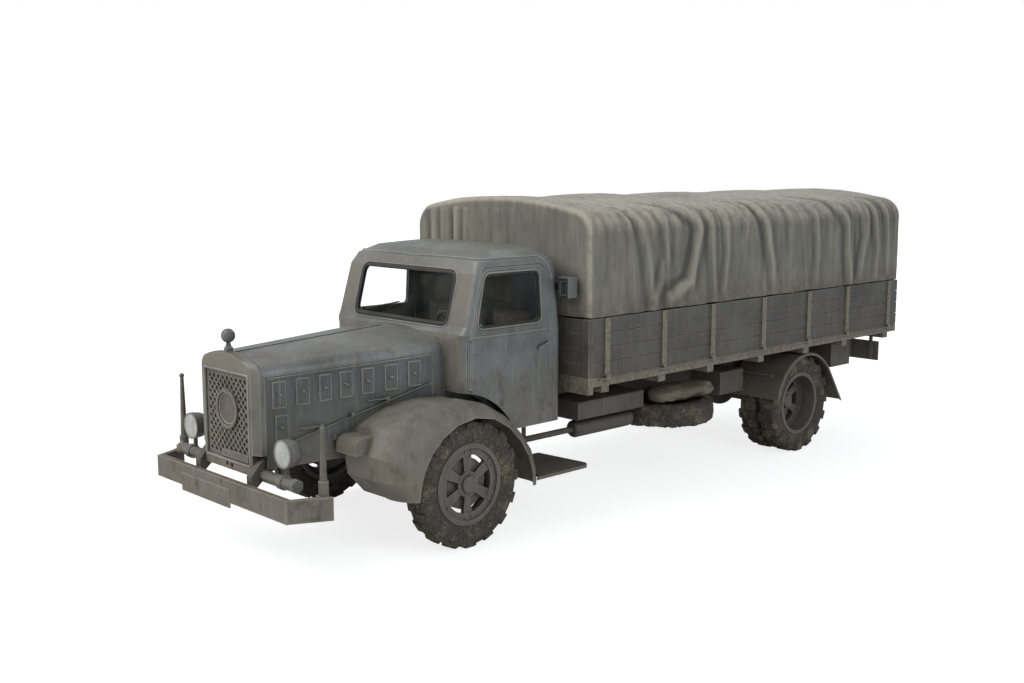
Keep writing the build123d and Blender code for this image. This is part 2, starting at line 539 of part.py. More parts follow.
# ---- front bumper: a swept channel whose ends turn back to the mudguards -------------------
BUMPER_CORNER_Y = 917
BUMPER_END_X = FRONT_AXLE_X + 1300
BUMPER_END_Y = 1060
PLATE_LOW_Z = 462
MARKER_X = FRONT_AXLE_X + 1330
MARKER_Y = 985
MARKER_SOCKET_RADIUS = 36
MARKER_TUBE_RADIUS = 27
MARKER_TIP_RADIUS = 14
with BuildPart() as front_bumper:
    for low, high, inset in ((BUMPER_BOTTOM_Z, BUMPER_TOP_Z, BUMPER_WEB),
                             (BUMPER_TOP_Z - BUMPER_WEB, BUMPER_TOP_Z, BUMPER_FLANGE),
                             (BUMPER_BOTTOM_Z, BUMPER_BOTTOM_Z + BUMPER_WEB, BUMPER_FLANGE)):
        with BuildSketch(Plane.XY.offset(low)):
            with BuildLine():
                Polyline((BUMPER_END_X, -BUMPER_END_Y), (BUMPER_X, -BUMPER_CORNER_Y),
                         (BUMPER_X, BUMPER_CORNER_Y), (BUMPER_END_X, BUMPER_END_Y),
                         (BUMPER_END_X, BUMPER_END_Y - 1.1 * inset),
                         (BUMPER_X - inset, BUMPER_CORNER_Y - 0.2 * inset),
                         (BUMPER_X - inset, -BUMPER_CORNER_Y + 0.2 * inset),
                         (BUMPER_END_X, -BUMPER_END_Y + 1.1 * inset), close=True)
            make_face()
        extrude(amount=high - low)
    # closed ends that carry the width markers
    for side in (-1, 1):
        with BuildSketch(Plane.XY.offset(BUMPER_TOP_Z - BUMPER_WEB)):
            Polygon((BUMPER_END_X, side * BUMPER_END_Y), (BUMPER_END_X, side * (BUMPER_END_Y - 130)),
                    (BUMPER_END_X + 60, side * (BUMPER_END_Y - 130)),
                    (BUMPER_END_X + 100, side * (BUMPER_END_Y - 40)), align=None)
        extrude(amount=BUMPER_WEB)
        with Locations((BUMPER_X - 4, side * BUMPER_CORNER_Y, BUMPER_BOTTOM_Z)):
            Box(12, 14, BUMPER_TOP_Z - BUMPER_BOTTOM_Z, align=(Align.CENTER, Align.CENTER, Align.MIN))
    # blank plate on the face, hung a little below the channel
    with Locations((BUMPER_X - 8, -180, PLATE_LOW_Z)):
        Box(8 + PLATE_RAISED, 700, 140, align=(Align.MIN, Align.CENTER, Align.MIN))
    for hole_y in (22, 465):
        with Locations((BUMPER_X, hole_y, BUMPER_BOTTOM_Z + 26)):
            Cylinder(9, 60, rotation=(0, 90, 0), mode=Mode.SUBTRACT)
    # width markers: a socket on each bumper end and a tapered tube
    for side, top_z in ((1, 1165), (-1, 1290)):
        with Locations((MARKER_X, side * MARKER_Y, BUMPER_TOP_Z)):
            Cylinder(MARKER_SOCKET_RADIUS, 105, align=(Align.CENTER, Align.CENTER, Align.MIN))
        with Locations((MARKER_X, side * MARKER_Y, BUMPER_TOP_Z + 104)):
            Cone(MARKER_TUBE_RADIUS, MARKER_TIP_RADIUS, top_z - BUMPER_TOP_Z - 118,
                 align=(Align.CENTER, Align.CENTER, Align.MIN))
        with Locations((MARKER_X, side * MARKER_Y, top_z - 20)):
            Sphere(20)
front_bumper.part.label = "front_bumper"
export_step(front_bumper.part, "parts/front_bumper.step")

# ---- headlamps on a cross tube: clamped stalks, deep bowls and flat pale lenses ------------
LAMP_Y = 650
LAMP_Z = 925
LAMP_FACE_X = FRONT_AXLE_X + 1449
LAMP_RADIUS = 105
LAMP_DEPTH = 150
LENS_RADIUS = 93
LENS_THICK = 10
LAMP_TUBE_X = FRONT_AXLE_X + 1440
LAMP_TUBE_Z = 722
LAMP_TUBE_RADIUS = 45
LAMP_TUBE_END_Y = 790
with BuildPart() as headlamps:
    with BuildSketch(Plane(origin=(LAMP_TUBE_X, RAIL_OUTER_Y, LAMP_TUBE_Z), z_dir=(0, 1, 0))):
        Circle(LAMP_TUBE_RADIUS)
    extrude(amount=LAMP_TUBE_END_Y - RAIL_OUTER_Y)
    with BuildSketch(Plane(origin=(LAMP_TUBE_X, LAMP_TUBE_END_Y, LAMP_TUBE_Z), z_dir=(0, 1, 0))):
        RegularPolygon(LAMP_TUBE_RADIUS + 8, 6)
    extrude(amount=34)
    with BuildSketch(Plane(origin=(LAMP_TUBE_X, LAMP_Y - 26, LAMP_TUBE_Z), z_dir=(0, 1, 0))):
        Circle(LAMP_TUBE_RADIUS + 10)
    extrude(amount=52)
    with Locations((LAMP_TUBE_X - 30, LAMP_Y, LAMP_TUBE_Z)):
        Cylinder(17, LAMP_Z - LAMP_TUBE_Z - LAMP_RADIUS + 40,
                 align=(Align.CENTER, Align.CENTER, Align.MIN))
    with BuildSketch(Plane(origin=(LAMP_FACE_X, LAMP_Y, LAMP_Z), x_dir=(0, 0, 1), z_dir=(0, 1, 0))):
        with BuildLine():
            Polyline((0, 0), (LAMP_RADIUS, 0), (LAMP_RADIUS, -34), (LAMP_RADIUS - 7, -40))
            ThreePointArc((LAMP_RADIUS - 7, -40), (0.72 * LAMP_RADIUS, -0.8 * LAMP_DEPTH),
                          (0, -LAMP_DEPTH))
            Line((0, -LAMP_DEPTH), (0, 0))
        make_face()
    revolve(axis=Axis((LAMP_FACE_X, LAMP_Y, LAMP_Z), (1, 0, 0)))
    with BuildSketch(Plane.YZ.offset(LAMP_FACE_X)):
        with Locations((LAMP_Y, LAMP_Z)):
            Circle(LENS_RADIUS)
    extrude(amount=-LENS_THICK, mode=Mode.SUBTRACT)
    mirror(about=Plane.XZ)
headlamps.part.label = "headlamps"
export_step(headlamps.part, "parts/headlamps.step")

with BuildPart() as headlamp_lenses:
    with BuildSketch(Plane.YZ.offset(LAMP_FACE_X - LENS_THICK)):
        with Locations((LAMP_Y, LAMP_Z), (-LAMP_Y, LAMP_Z)):
            Circle(LENS_RADIUS - 0.2)
    extrude(amount=LENS_THICK - 2)
headlamp_lenses.part.label = "headlamp_lenses"
export_step(headlamp_lenses.part, "parts/headlamp_lenses.step")

# ---- radiator shell: a crowned housing, open behind, with the grille opening ---------------
SHELL_FRONT_X = FRONT_AXLE_X + 1500
SHELL_REAR_X = HOOD_FRONT_X + MOVE_CLEAR
SHELL_BOTTOM_Z = 712
SHELL_FACE = 20
GRILLE_HALF_WIDTH = 295
GRILLE_LOW_Z = 790
GRILLE_HIGH_Z = 1440
CAP_X = FRONT_AXLE_X + 1466
CAP_BALL_RADIUS = 53
CAP_BALL_Z = 1712
SHELL_FOOT_Y = RAIL_OUTER_Y - RAIL_FLANGE - 0.3
SHELL_FOOT_Z = 870
HINGE_ROD_DROP = 14.2


def shell_outline(x, half, bead, crown, radius):
    """The shell's outline at x: flat foot, upright sides and a crowned top."""
    bead_point, shoulder_middle, shoulder_end, top_middle, centre = top_arc(
        half, bead, crown, radius)
    with BuildSketch(Plane.YZ.offset(x)) as outline:
        with BuildLine():
            Polyline((-half, bead), (-half, SHELL_BOTTOM_Z), (half, SHELL_BOTTOM_Z), (half, bead))
            ThreePointArc(bead_point, shoulder_middle, shoulder_end)
            ThreePointArc(shoulder_end, centre, (-shoulder_end[0], shoulder_end[1]))
            ThreePointArc((-half, bead), (-shoulder_middle[0], shoulder_middle[1]),
                          (-shoulder_end[0], shoulder_end[1]))
        make_face()
    return outline.sketch


with BuildPart() as radiator_shell:
    shell_rear = shell_outline(SHELL_REAR_X, HOOD_SIDE_FRONT_Y + 4, BEAD_FRONT_Z + 4,
                               CROWN_FRONT_Z + 8, SHOULDER_RADIUS)
    shell_middle = shell_outline(SHELL_REAR_X + 34, HOOD_SIDE_FRONT_Y - 8, BEAD_FRONT_Z + 4,
                                 CROWN_FRONT_Z + 14, SHOULDER_RADIUS)
    shell_front = shell_outline(SHELL_FRONT_X, HOOD_SIDE_FRONT_Y - 74, BEAD_FRONT_Z + 12,
                                CROWN_FRONT_Z + 2, SHOULDER_RADIUS - 20)
    loft([shell_rear, shell_middle, shell_front], ruled=True)
    shell_hollow = shell_outline(SHELL_REAR_X, HOOD_SIDE_FRONT_Y - 90, BEAD_FRONT_Z,
                                 CROWN_FRONT_Z - 24, SHOULDER_RADIUS - 30)
    extrude(shell_hollow, amount=SHELL_FRONT_X - SHELL_REAR_X - SHELL_FACE, mode=Mode.SUBTRACT)
    with BuildSketch(Plane.YZ.offset(SHELL_FRONT_X)):
        with Locations((0, (GRILLE_LOW_Z + GRILLE_HIGH_Z) / 2)):
            Rectangle(2 * GRILLE_HALF_WIDTH, GRILLE_HIGH_Z - GRILLE_LOW_Z)
    extrude(amount=-2 * SHELL_FACE, mode=Mode.SUBTRACT)
    # the foot is cut back on both sides for the frame's nose
    for side in (-1, 1):
        with Locations((SHELL_REAR_X - 10, side * SHELL_FOOT_Y, SHELL_BOTTOM_Z - 10)):
            Box(200, 200, SHELL_FOOT_Z - SHELL_BOTTOM_Z + 10,
                align=(Align.MIN, Align.MIN if side > 0 else Align.MAX, Align.MIN),
                mode=Mode.SUBTRACT)
    # rod under the bonnet's centre seam, on which both halves hinge
    rod_start = Vector(SHELL_REAR_X + 20, 0, crown_z(SHELL_REAR_X + 20) - HINGE_ROD_DROP)
    rod_end = Vector(HOOD_REAR_X + 0.8, 0, crown_z(HOOD_REAR_X) - HINGE_ROD_DROP)
    with BuildSketch(Plane(origin=rod_start, z_dir=rod_end - rod_start)):
        Circle(6)
    extrude(amount=(rod_end - rod_start).length)
    # filler neck and its ball cap
    with Locations((CAP_X, 0, CROWN_FRONT_Z)):
        Cylinder(34, 42, align=(Align.CENTER, Align.CENTER, Align.MIN))
    with Locations((CAP_X, 0, CROWN_FRONT_Z + 40)):
        Cone(26, 14, CAP_BALL_Z - CAP_BALL_RADIUS - CROWN_FRONT_Z - 34,
             align=(Align.CENTER, Align.CENTER, Align.MIN))
    with Locations((CAP_X, 0, CAP_BALL_Z)):
        Sphere(CAP_BALL_RADIUS)
    for hole_y in (-20, 50):
        with Locations((SHELL_FRONT_X, hole_y, 750)):
            Cylinder(17, 2 * SHELL_FACE, rotation=(0, 90, 0), mode=Mode.SUBTRACT)
radiator_shell.part.label = "radiator_shell"
export_step(radiator_shell.part, "parts/radiator_shell.step")

# ---- grille: a diamond lattice in the opening, with a plain round disc on it ---------------
GRILLE_GAUGE = 8
DIAMOND = 44
DIAMOND_BAR = 9
DISC_Z = 1168
DISC_RADIUS = 148
GRILLE_X = SHELL_FRONT_X - SHELL_FACE
LOW_BOX_WIDTH = 370
LOW_BOX_HEIGHT = 52
LOW_BOX_Y = GRILLE_HALF_WIDTH - LOW_BOX_WIDTH / 2 - 12
LOW_BOX_Z = GRILLE_LOW_Z + LOW_BOX_HEIGHT / 2 + 12
with BuildPart() as radiator_grille:
    with BuildSketch(Plane.YZ.offset(GRILLE_X)):
        with Locations((0, (GRILLE_LOW_Z + GRILLE_HIGH_Z) / 2)):
            Rectangle(2 * GRILLE_HALF_WIDTH, GRILLE_HIGH_Z - GRILLE_LOW_Z)
        pitch = DIAMOND * sqrt(2)
        rows = int((GRILLE_HIGH_Z - GRILLE_LOW_Z - 2 * DIAMOND_BAR) / (pitch / 2)) - 1
        columns = int((2 * GRILLE_HALF_WIDTH - 2 * DIAMOND_BAR) / pitch)
        for row in range(rows):
            count = columns - row % 2
            row_z = (GRILLE_LOW_Z + GRILLE_HIGH_Z) / 2 + (row - (rows - 1) / 2) * pitch / 2
            with Locations((0, row_z)):
                with GridLocations(pitch, 1, count, 1):
                    Rectangle(DIAMOND - DIAMOND_BAR, DIAMOND - DIAMOND_BAR, rotation=45,
                              mode=Mode.SUBTRACT)
        with Locations((0, DISC_Z)):
            Circle(DISC_RADIUS - 4)
    extrude(amount=GRILLE_GAUGE)
    with BuildSketch(Plane.YZ.offset(GRILLE_X)):
        with Locations((0, DISC_Z)):
            Circle(DISC_RADIUS)
            Circle(DISC_RADIUS - 22, mode=Mode.SUBTRACT)
    extrude(amount=SHELL_FACE + 6)
    # flat box low on the lattice, off to the left
    with BuildSketch(Plane.YZ.offset(GRILLE_X)):
        with Locations((LOW_BOX_Y, LOW_BOX_Z)):
            RectangleRounded(LOW_BOX_WIDTH, LOW_BOX_HEIGHT, 8)
    extrude(amount=SHELL_FACE + 2)
radiator_grille.part.label = "radiator_grille"
export_step(radiator_grille.part, "parts/radiator_grille.step")

# ---- radiator core behind the grille, held in the shell ------------------------------------
CORE_THICK = 90
with BuildPart() as radiator_core:
    with Locations((GRILLE_X - 0.3, 0, SHELL_BOTTOM_Z + 10)):
        Box(SHELL_FACE, 2 * GRILLE_HALF_WIDTH + 50, GRILLE_HIGH_Z - SHELL_BOTTOM_Z + 20,
            align=(Align.MAX, Align.CENTER, Align.MIN))
    with Locations((GRILLE_X - SHELL_FACE, 0, SHELL_BOTTOM_Z + 10)):
        Box(CORE_THICK, 2 * GRILLE_HALF_WIDTH + 30, GRILLE_HIGH_Z - SHELL_BOTTOM_Z + 10,
            align=(Align.MAX, Align.CENTER, Align.MIN))
radiator_core.part.label = "radiator_core"
export_step(radiator_core.part, "parts/radiator_core.step")

# ---- bonnet top: two crowned halves hinged on the centre seam ------------------------------
TOP_FRONT_X = HOOD_FRONT_X
TOP_REAR_X = HOOD_REAR_X + MOVE_CLEAR


def half_top(x):
    """Section of the left half of the bonnet's top at x."""
    outer = top_arc(hood_y(x), bead_z(x), crown_z(x), SHOULDER_RADIUS)
    inner = top_arc(hood_y(x) - HOOD_GAUGE, bead_z(x), crown_z(x) - HOOD_GAUGE,
                    SHOULDER_RADIUS - HOOD_GAUGE)
    seam = MOVE_CLEAR / 2
    with BuildSketch(Plane.YZ.offset(x)) as section:
        with BuildLine():
            ThreePointArc(outer[0], outer[1], outer[2])
            ThreePointArc(outer[2], outer[3], (seam, outer[4][1]))
            Line((seam, outer[4][1]), (seam, inner[4][1]))
            ThreePointArc((seam, inner[4][1]), inner[3], inner[2])
            ThreePointArc(inner[2], inner[1], inner[0])
            Line(inner[0], outer[0])
        make_face()
    return section.sketch


with BuildPart() as hood_top_left:
    loft([half_top(TOP_REAR_X), half_top(TOP_FRONT_X)], ruled=True)
hood_top_left.part.label = "hood_top_left"
export_step(hood_top_left.part, "parts/hood_top_left.step")

with BuildPart() as hood_top_right:
    mirror(hood_top_left.part, about=Plane.XZ)
hood_top_right.part.label = "hood_top_right"
export_step(hood_top_right.part, "parts/hood_top_right.step")

# ---- bonnet sides: upright panels with raised plates, a slanted stay rod and its latches ---
SIDE_GAUGE = 10
SIDE_LENGTH = HOOD_FRONT_X - HOOD_REAR_X
PLATE_PROUD = 9
PLATE_HEIGHT = 200
PLATE_BELOW_BEAD = 38
# front and rear edge of each raised plate, ahead of the front axle
SIDE_PLATES = ((1378, 1268), (1193, 1083), (1008, 906), (838, 734), (657, 549), (459, 344),
               (256, 141))
side_slope = atan2(HOOD_SIDE_REAR_Y - HOOD_SIDE_FRONT_Y, SIDE_LENGTH)
side_plane = Plane(origin=(HOOD_FRONT_X, HOOD_SIDE_FRONT_Y, 0),
                   x_dir=(-cos(side_slope), sin(side_slope), 0), z_dir=(sin(side_slope), cos(side_slope), 0))
along = 1 / cos(side_slope)
# stay rod: place ahead of the axle and height of its ends, how far it stands off the panel
STAY_ENDS = ((1250, 950), (60, 1261))
STAY_RADIUS = 6
STAY_PROUD = 20
STUD_RADIUS = 9
KNOB_RADIUS = 14
KNOB_LENGTH = 18
KNOB_STEP = 5
# latches on the rod: place ahead of the axle, height, length of the handle
LATCHES = ((1008, 1045, 170), (751, 1102, 0), (450, 1188, 170))
BOSS_PLACE = (894, 939)


def stay_z(ahead):
    """Height of the stay rod at a place ahead of the front axle."""
    (front, low), (rear, high) = STAY_ENDS
    return low + (front - ahead) / (front - rear) * (high - low)


def on_side(ahead, height, proud=0):
    """A point that stands proud of the left side panel."""
    return side_plane.from_local_coords(
        Vector((HOOD_FRONT_X - FRONT_AXLE_X - ahead) * along, height, proud))


with BuildPart() as hood_sides:
    with BuildSketch(side_plane):
        with BuildLine():
            Polyline((0, HOOD_BOTTOM_Z), (0, BEAD_FRONT_Z - MOVE_CLEAR),
                     (SIDE_LENGTH * along - 2, BEAD_REAR_Z - MOVE_CLEAR),
                     (SIDE_LENGTH * along - 2, HOOD_BOTTOM_Z), close=True)
        make_face()
    extrude(amount=-SIDE_GAUGE)
    for front, rear in SIDE_PLATES:
        plate_x = FRONT_AXLE_X + (front + rear) / 2
        with BuildSketch(side_plane):
            with Locations(((HOOD_FRONT_X - plate_x) * along,
                            bead_z(plate_x) - PLATE_BELOW_BEAD - PLATE_HEIGHT / 2)):
                RectangleRounded((front - rear) * along, PLATE_HEIGHT, 8)
        extrude(amount=PLATE_PROUD)
    with BuildSketch(side_plane):
        with Locations(((HOOD_FRONT_X - FRONT_AXLE_X - 1310) * along, 1064)):
            RectangleRounded(103, 190, 8)
    extrude(amount=PLATE_PROUD)
    # the slanted stay rod on studs, its latches with turned knobs and forward handles, one boss
    rod_start, rod_end = [on_side(*end, STAY_PROUD) for end in STAY_ENDS]
    with BuildSketch(Plane(origin=rod_start, z_dir=rod_end - rod_start)):
        Circle(STAY_RADIUS)
    extrude(amount=(rod_end - rod_start).length)
    studs = [(*end, STUD_RADIUS) for end in STAY_ENDS]
    studs += [(ahead, stay_z(ahead), STUD_RADIUS) for ahead, height, handle in LATCHES]
    for ahead, height, radius in studs:
        with BuildSketch(Plane(origin=on_side(ahead, height, -4), z_dir=side_plane.z_dir)):
            Circle(radius)
        extrude(amount=STAY_PROUD + STAY_RADIUS + 6)
    with BuildSketch(Plane(origin=on_side(*BOSS_PLACE, -4), z_dir=side_plane.z_dir)):
        Circle(2 * STUD_RADIUS)
    extrude(amount=STAY_PROUD)
    for ahead, height, handle in LATCHES:
        with BuildSketch(Plane(origin=on_side(ahead, height, -4), x_dir=side_plane.x_dir,
                               z_dir=side_plane.z_dir)):
            Circle(STUD_RADIUS)
            with Locations((0, (stay_z(ahead) - height) / 2)):
                Rectangle(1.6 * STUD_RADIUS, abs(height - stay_z(ahead)) + STUD_RADIUS)
        extrude(amount=2 * STAY_PROUD)
        for radius, length in ((KNOB_RADIUS, KNOB_LENGTH),
                               (KNOB_RADIUS - KNOB_STEP + 1, KNOB_LENGTH + 2 * KNOB_STEP)):
            with BuildSketch(Plane(origin=on_side(ahead, height, 2 * STAY_PROUD - length / 2),
                                   z_dir=side_plane.z_dir)):
                Circle(radius)
            extrude(amount=length)
        if handle:
            with BuildSketch(Plane(origin=on_side(ahead, height, 2 * STAY_PROUD),
                                   z_dir=-side_plane.x_dir)):
                Circle(STAY_RADIUS + 1)
            extrude(amount=handle)
    mirror(about=Plane.XZ)
hood_sides.part.label = "hood_sides"
export_step(hood_sides.part, "parts/hood_sides.step")

# ---- cab: one closed steel body, its walls as thick as the doors ---------------------------
# height, front middle ahead of the axle, bow of the front, rear behind the axle, half width,
# front corner radius, rear corner radius
CAB_SECTIONS = (
    (CAB_BOTTOM_Z, -72, 22, -1150, 888, 150, 60),
    (1600, -72, 22, -1150, 888, 150, 60),
    (1640, -84, 15, -1150, 884, 110, 60),
    (1698, -126, 10, -1150, 878, 75, 60),
    (2110, -236, 10, -1150, 848, 60, 80),
    (2205, -278, 22, -1146, 818, 85, 110),
    (2275, -380, 40, -1080, 700, 110, 110),
    (2306, -560, 50, -940, 480, 110, 110),
)
DRIP_Z = 2205
PANE_DEPTH = 14
PANE_GAUGE = 6


def cab_form(inset):
    """The cab's outer form, drawn in by inset on every side, joined to the open builder."""
    outlines = []
    for z, front, bow, rear, half, front_radius, rear_radius in CAB_SECTIONS:
        level = z
        if z == CAB_BOTTOM_Z:
            level = z + inset
        if z > DRIP_Z - 1:
            level = z - inset
        front_x = FRONT_AXLE_X + front - inset
        rear_x = FRONT_AXLE_X + rear + inset
        side_y = half - inset
        with BuildSketch(Plane.XY.offset(level)) as outline:
            with BuildLine():
                Polyline((front_x - bow, side_y), (rear_x, side_y), (rear_x, -side_y),
                         (front_x - bow, -side_y))
                ThreePointArc((front_x - bow, -side_y), (front_x, 0), (front_x - bow, side_y))
            make_face()
            fillet(outline.vertices().group_by(Axis.X)[-1], front_radius - inset / 2)
            fillet(outline.vertices().group_by(Axis.X)[0], rear_radius - inset / 2)
        outlines.append(outline.sketch)
    return outlines


with BuildPart() as cab_outer:
    loft(cab_form(0), ruled=True)
with BuildPart() as cab_inner:
    loft(cab_form(CAB_WALL), ruled=True)
with BuildPart() as pane_inside:
    loft(cab_form(PANE_DEPTH + PANE_GAUGE), ruled=True)
with BuildPart() as pane_shell:
    loft(cab_form(PANE_DEPTH), ruled=True)
    add(pane_inside.part, mode=Mode.SUBTRACT)

# door outline seen from the side; the lower front edge is the arch over the mudguard
DOOR_FRONT_X = FRONT_AXLE_X - 134
DOOR_REAR_X = FRONT_AXLE_X - 1000
DOOR_TOP_Z = 2160
DOOR_GAP = MOVE_CLEAR
DOOR_CORNER = 70
# x ahead of the axle and height where the door's front edge leans back with the pillar
PILLAR_LEAN = ((-134, 1610), (-178, 1698), (-304, 2160))


def door_outline(inset):
    """The door's outline drawn in by inset, on the side plane."""
    with BuildSketch(Plane.XZ) as outline:
        lean = [(FRONT_AXLE_X + x - inset, z) for x, z in PILLAR_LEAN[:2]]
        Polygon((DOOR_FRONT_X - inset, CAB_BOTTOM_Z - 2), *lean,
                (FRONT_AXLE_X + PILLAR_LEAN[2][0] - inset, DOOR_TOP_Z - inset),
                (DOOR_REAR_X + inset, DOOR_TOP_Z - inset),
                (DOOR_REAR_X + inset, CAB_BOTTOM_Z - 2), align=None)
        fillet(outline.vertices().group_by(Axis.Z)[-1], DOOR_CORNER)
        with Locations((FRONT_AXLE_X, TYRE_RADIUS)):
            Circle(ARCH_RADIUS + inset, mode=Mode.SUBTRACT)
    return outline.sketch


WINDOW_LOW_Z = 1700
WINDOW_HIGH_Z = 2092
WINDOW_REAR_X = FRONT_AXLE_X - 905
WINDOW_FRONT_LOW_X = FRONT_AXLE_X - 232
WINDOW_FRONT_HIGH_X = FRONT_AXLE_X - 334
WINDOW_CORNER = 45


def window_outline(inset):
    """The door window's outline drawn in by inset, on the side plane."""
    with BuildSketch(Plane.XZ) as outline:
        Polygon((WINDOW_FRONT_LOW_X - inset, WINDOW_LOW_Z + inset),
                (WINDOW_FRONT_HIGH_X - inset, WINDOW_HIGH_Z - inset),
                (WINDOW_REAR_X + inset, WINDOW_HIGH_Z - inset),
                (WINDOW_REAR_X + inset, WINDOW_LOW_Z + inset), align=None)
        fillet(outline.vertices(), WINDOW_CORNER)
    return outline.sketch


WINDSCREEN_HALF = 594
WINDSCREEN_LOW_Z = 1716
WINDSCREEN_HIGH_Z = 2098
REAR_WINDOW_HALF = 300
REAR_WINDOW_LOW_Z = 1760
REAR_WINDOW_HIGH_Z = 2050


def screen_outline(half, low, high, radius):
    """A rounded window seen from ahead, on the truck's cross plane."""
    with BuildSketch(Plane.YZ.offset(FRONT_AXLE_X - 600)) as outline:
        with Locations((0, (low + high) / 2)):
            RectangleRounded(2 * half, high - low, radius)
    return outline.sketch


COWL_FRONT_X = HOOD_REAR_X
COWL_GAUGE = 30
COWL_DEPTH = 90         # clear depth of the cowl ahead of the bulkhead
CAB_FRONT_X = FRONT_AXLE_X - 110
SIDE_CUT_Y = 740
TUNNEL_HALF = RAIL_OUTER_Y + 40
TUNNEL_TOP_Z = RAIL_TOP_Z + 38
DASH_X = FRONT_AXLE_X - 80
DASH_REAR_X = FRONT_AXLE_X - 320
DASH_HALF = 780
with BuildPart() as door_zone:
    extrude(door_outline(0), amount=1000, both=True)
    Box(3 * WHEELBASE, 2 * SIDE_CUT_Y, 6000, mode=Mode.SUBTRACT)
with BuildPart() as side_windows:
    extrude(window_outline(0), amount=1000, both=True)
    Box(3 * WHEELBASE, 2 * SIDE_CUT_Y - 100, 6000, mode=Mode.SUBTRACT)
with BuildPart() as screens:
    extrude(screen_outline(WINDSCREEN_HALF, WINDSCREEN_LOW_Z, WINDSCREEN_HIGH_Z, 60), amount=900)
    extrude(screen_outline(REAR_WINDOW_HALF, REAR_WINDOW_LOW_Z, REAR_WINDOW_HIGH_Z, 50),
            amount=-900)

with BuildPart() as cab_shell:
    add(cab_outer.part)
    add(cab_inner.part, mode=Mode.SUBTRACT)
    # wheel houses: the mudguard's arch pressed into the cab's lower front corners
    for side in (-1, 1):
        with BuildSketch(Plane(origin=(FRONT_AXLE_X, side * (FENDER_INNER_Y - CAB_WALL),
                                       TYRE_RADIUS), z_dir=(0, side, 0))):
            Circle(ARCH_RADIUS + CAB_WALL)
        extrude(amount=CAB_HALF_WIDTH - 2 * CAB_WALL - 2 * MOVE_CLEAR - FENDER_INNER_Y + CAB_WALL)
    # raised floor over the frame and the dashboard across the bulkhead
    with Locations((CAB_REAR_X + 10, 0, CAB_BOTTOM_Z)):
        Box(CAB_FRONT_X - CAB_REAR_X, 2 * TUNNEL_HALF, TUNNEL_TOP_Z - CAB_BOTTOM_Z,
            align=(Align.MIN, Align.CENTER, Align.MIN))
    with BuildSketch(Plane.XZ.offset(-DASH_HALF)):
        with BuildLine():
            Polyline((DASH_X, 1480), (DASH_X, 1640), (DASH_REAR_X + 110, 1668))
            ThreePointArc((DASH_REAR_X + 110, 1668), (DASH_REAR_X + 22, 1640), (DASH_REAR_X, 1580))
            Polyline((DASH_REAR_X, 1580), (DASH_REAR_X + 20, 1520), (DASH_X, 1480))
        make_face()
    extrude(amount=2 * DASH_HALF)
    add(cab_outer.part, mode=Mode.INTERSECT)
    for side in (-1, 1):
        with BuildSketch(Plane(origin=(FRONT_AXLE_X, side * FENDER_INNER_Y, TYRE_RADIUS),
                               z_dir=(0, side, 0))):
            Circle(ARCH_RADIUS)
        extrude(amount=CAB_HALF_WIDTH, mode=Mode.SUBTRACT)
    # cowl: a raised band that meets the bonnet's rear edge
    cowl_outer = top_arc(hood_y(COWL_FRONT_X), bead_z(COWL_FRONT_X), crown_z(COWL_FRONT_X),
                         SHOULDER_RADIUS)
    cowl_inner = top_arc(hood_y(COWL_FRONT_X) - COWL_GAUGE, bead_z(COWL_FRONT_X),
                         crown_z(COWL_FRONT_X) - COWL_GAUGE, SHOULDER_RADIUS - COWL_GAUGE)
    for points, depth, mode in ((cowl_outer, COWL_FRONT_X - CAB_FRONT_X, Mode.ADD),
                                (cowl_inner, COWL_DEPTH, Mode.SUBTRACT)):
        with BuildSketch(Plane.YZ.offset(COWL_FRONT_X)) as cowl:
            with BuildLine():
                Polyline((-points[0][0], points[0][1]), (-points[0][0], CAB_BOTTOM_Z),
                         (points[0][0], CAB_BOTTOM_Z), points[0])
                ThreePointArc(points[0], points[1], points[2])
                ThreePointArc(points[2], points[4], (-points[2][0], points[2][1]))
                ThreePointArc((-points[2][0], points[2][1]), (-points[1][0], points[1][1]),
                              (-points[0][0], points[0][1]))
            make_face()
        extrude(amount=-depth, mode=mode)
    # room for the frame under the floor and through the bulkhead
    with Locations((CAB_REAR_X - 10, 0, CAB_BOTTOM_Z - 10)):
        Box(2000, 2 * (RAIL_OUTER_Y + 8), RAIL_TOP_Z + 6 - CAB_BOTTOM_Z + 10,
            align=(Align.MIN, Align.CENTER, Align.MIN), mode=Mode.SUBTRACT)
    add(door_zone.part, mode=Mode.SUBTRACT)
    add(screens.part, mode=Mode.SUBTRACT)
cab_shell.part.label = "cab_shell"
export_step(cab_shell.part, "parts/cab_shell.step")

# ---- cab glass: windscreen and rear window, curved with the body ---------------------------
with BuildPart() as cab_glass:
    add(pane_shell.part)
    add(screens.part, mode=Mode.INTERSECT)
cab_glass.part.label = "cab_glass"
export_step(cab_glass.part, "parts/cab_glass.step")

